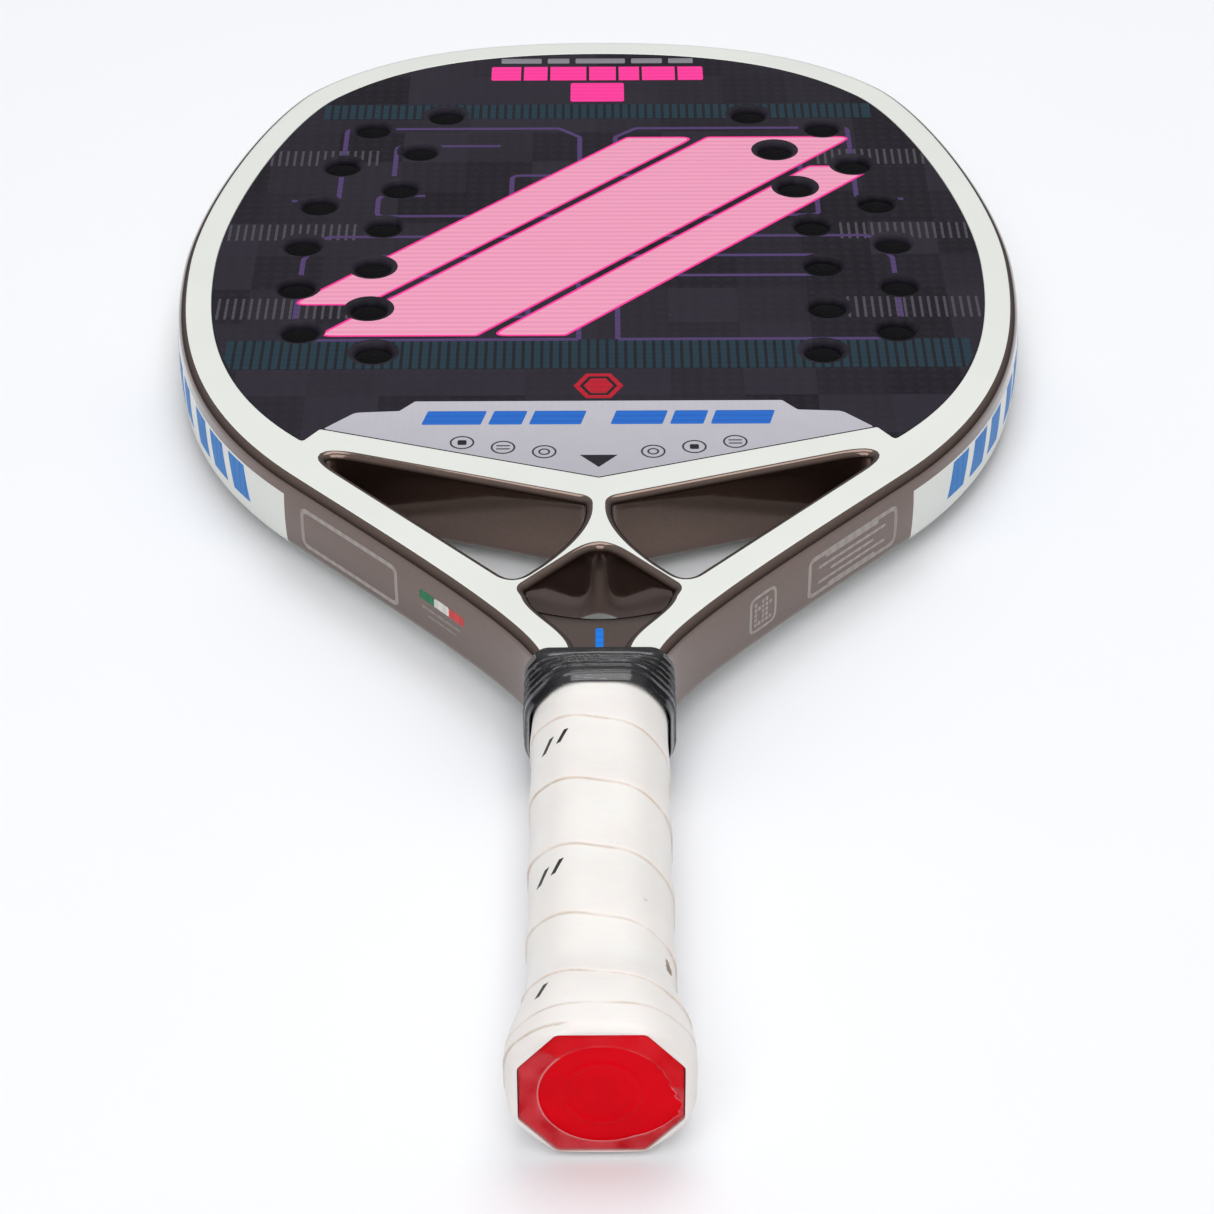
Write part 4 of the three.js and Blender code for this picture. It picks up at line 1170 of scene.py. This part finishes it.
class RACKET_OT_cap(bpy.types.Operator):
    """Red butt cap with a raised ring, and the clear film folded over its rim"""

    bl_idname = "racket.cap"
    bl_label = "Butt cap"

    def execute(self, context):
        count = 160
        rim = octagon(CAP_HALF, 0, 1.2, count=count)
        angle = np.arctan2(rim[:, 1], rim[:, 0])
        ray = np.linalg.norm(rim, axis=1)
        direction = rim / ray[:, None]
        # Circles of the face, raised where the ring runs, then the rim's own outline over its edge
        radii = [np.linspace(0.6, 6.4, 6), np.linspace(6.6, 9.4, 15), np.linspace(9.8, 14.6, 10)]
        radii = np.concatenate(radii)
        face_y = CAP_FACE - 0.30 * np.exp(-(((radii - 8.0) / 0.75) ** 4))
        shrink = np.array([0.06, 0.03, 0.012, 0.0, 0.0, 0.05])[:, None, None]
        rim_y = np.array([CAP_FACE, 0.66, 0.82, 1.15, 3.9, 4.3])
        face = stood(direction[None] * radii[:, None, None], face_y)
        rings = np.concatenate([face, stood(rim[None] * (1 - shrink), rim_y)])
        parts = closed_ends(rings, CAP_FACE, rim_y[-1])
        make_piece("cap_moulding", parts, [red_plastic()], ("butt_cap",))

        # The window is round, but torn out to the rim at the right: degrees round it, and radius
        degrees = [-180, -90, -60, -38, -21, -10, -4.5, 8, 30, 60, 90, 180]
        radii = [13.3, 13.2, 13.6, 15.4, 17.0, 17.2, 16.0, 14.7, 14.1, 13.5, 13.3, 13.3]
        window = np.interp(angle, np.radians(degrees), radii)
        torn = np.exp(-(((angle - 0.1) / 0.5) ** 2))
        window = window + torn * (0.28 * np.sin(angle * 31) + 0.2 * np.sin(angle * 53 + 1))
        window = np.minimum(window, ray - 0.5)
        steps = np.linspace(0, 1, 9)[:, None]
        reach = window[None] * (1 - steps) + (ray - 0.15)[None] * steps
        # The film curls up at the window's edge and ripples a little across its width
        lift = 0.3 * np.exp(-((steps * 6) ** 2))
        lift = lift + 0.05 * np.sin(angle * 5)[None] * np.sin(steps * np.pi)
        upper = np.stack([direction[:, 0] * reach, 0.34 - lift, direction[:, 1] * reach], 2)
        fold = stood((direction * (ray + 0.1)[:, None])[None], np.array([0.9]))
        parts = ringed([upper, fold, upper[::-1] + [0, 0.2, 0]])
        points = parts[0][0]
        # Painted reflection: the film stays clear above a slanted line at the upper side, and is
        # painted milky below it
        painted_sheen = np.clip((7.2 - 0.35 * points[:, 0] - points[:, 2]) / 0.6 + 0.5, 0, 1)
        # Painted highlight: the film's edge rows are raised in the mask, so that a pale line is painted
        # along them
        edge = np.zeros((len(points) // count, count))
        edge[[0, -1]] = 0.8
        values = {"painted_sheen": np.minimum(painted_sheen + edge.ravel(), 1.6)}
        make_piece("cap_film", parts, [clear_film()], ("butt_film",), values)
        return {"FINISHED"}


class RACKET_OT_inner(bpy.types.Operator):
    """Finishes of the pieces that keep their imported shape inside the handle"""

    bl_idname = "racket.inner"
    bl_label = "Inner pieces"

    def execute(self, context):
        shell = cell_foam("moulded_pu_foam", "#3A3A3D", 0.9, 0.7, 0.85)
        filler = cell_foam("white_pu_foam", "#E8E5DC", 0.8, 0.8, 0.92)
        finishes = {"handle_shell_front": shell, "handle_shell_rear": shell, "handle_filler": filler}
        for name, finish in finishes.items():
            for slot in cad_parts[name].material_slots:
                slot.material = finish
        return {"FINISHED"}


class RACKET_OT_stage(bpy.types.Operator):
    """Pale floor, soft studio light and the camera"""

    bl_idname = "racket.stage"
    bl_label = "Studio"

    def execute(self, context):
        scene = context.scene
        # The floor touches the butt and rises towards the head by its tilt
        mesh = bpy.data.meshes.new("floor")
        line = np.linspace(-FLOOR_REACH, FLOOR_REACH, 9)
        x, y = np.meshgrid(line, line)
        z = (y - LOW.y) * math.tan(scene.racket_sizes.floor_tilt) - 0.0005
        points = np.stack([x, y, z], 2).reshape(-1, 3)
        mesh.from_pydata(points.tolist(), [], grid_faces(9, 9, False, False).tolist())
        floor = bpy.data.objects.new("floor", mesh)
        scene.collection.objects.link(floor)
        # Matt background paper, with a faint cloudiness
        paper, add, at = empty_material("studio_paper")
        cloud = add("TexNoise", sized(at, 60))
        base = scene.racket_colours.floor
        tone = over(add, cloud, 0, 1, 1.0, shade(base, 0.985), shade(base, 1.0))
        mesh.materials.append(finished(paper, add, {"Base Color": tone, "Roughness": 0.8}, cloud, 0.0))

        # Dim at the horizon and bright overhead, so that gloss has something to mirror
        world = bpy.data.worlds.new("studio")
        world.use_nodes = True
        sky = world.node_tree
        height = node(sky, "SeparateXYZ", (node(sky, "TexCoord"),), 2)
        background = sky.nodes["Background"]
        background.inputs["Color"].default_value = linear("#F8F9FC")
        sky.links.new(node(sky, "MapRange", (height, *SKY)), background.inputs["Strength"])
        scene.world = world
        for name, place, target, size, power in LAMPS:
            lamp = bpy.data.lights.new(name, "AREA")
            lamp.energy, lamp.size = power, size
            holder = bpy.data.objects.new(name, lamp)
            holder.location = place
            aim = Vector(target) - Vector(place)
            holder.rotation_euler = aim.to_track_quat("-Z", "Y").to_euler()
            scene.collection.objects.link(holder)
        scene.view_settings.view_transform = "Standard"

        camera = bpy.data.cameras.new("camera")
        camera.sensor_width, camera.lens = 36.0, CAMERA_LENS
        camera.clip_start, camera.clip_end = 0.05, 50
        holder = bpy.data.objects.new("camera", camera)
        down, yaw, roll = (math.radians(value) for value in CAMERA_TURN)
        level = math.cos(down)
        ahead = Vector((math.sin(yaw) * level, math.cos(yaw) * level, -math.sin(down)))
        right = ahead.cross(Vector((0, 0, 1))).normalized()
        above = right.cross(ahead)
        across = right * math.cos(roll) + above * math.sin(roll)
        upright = above * math.cos(roll) - right * math.sin(roll)
        turn = Matrix((across, upright, -ahead)).transposed().to_4x4()
        holder.matrix_world = Matrix.Translation(CAMERA_PLACE) @ turn
        scene.collection.objects.link(holder)
        scene.camera = holder
        return {"FINISHED"}


class RACKET_PT_panel(bpy.types.Panel):
    """The racket's settings and pieces"""

    bl_idname = "RACKET_PT_panel"
    bl_label = "Racket"
    bl_space_type = "VIEW_3D"
    bl_region_type = "UI"
    bl_category = "Racket"

    def draw(self, context):
        for group in (context.scene.racket_sizes, context.scene.racket_colours):
            for key in group.bl_rna.properties.keys():
                if key not in ("rna_type", "name"):
                    self.layout.prop(group, key)
        for operator in PIECES:
            self.layout.operator(operator.bl_idname)


PIECES = (
    RACKET_OT_frame,
    RACKET_OT_web,
    RACKET_OT_faces,
    RACKET_OT_prints,
    RACKET_OT_side_marks,
    RACKET_OT_overgrip,
    RACKET_OT_tape,
    RACKET_OT_cap,
    RACKET_OT_inner,
    RACKET_OT_stage,
)
CLASSES = (RacketSizes, RacketColours, *PIECES, RACKET_PT_panel)


def register():
    for made in CLASSES:
        bpy.utils.register_class(made)
    bpy.types.Scene.racket_sizes = PointerProperty(type=RacketSizes)
    bpy.types.Scene.racket_colours = PointerProperty(type=RacketColours)


def unregister():
    del bpy.types.Scene.racket_colours
    del bpy.types.Scene.racket_sizes
    for made in reversed(CLASSES):
        bpy.utils.unregister_class(made)


def main():
    register()
    for operator in PIECES:
        group, name = operator.bl_idname.split(".")
        getattr(getattr(bpy.ops, group), name)()


if __name__ == "__main__":
    main()
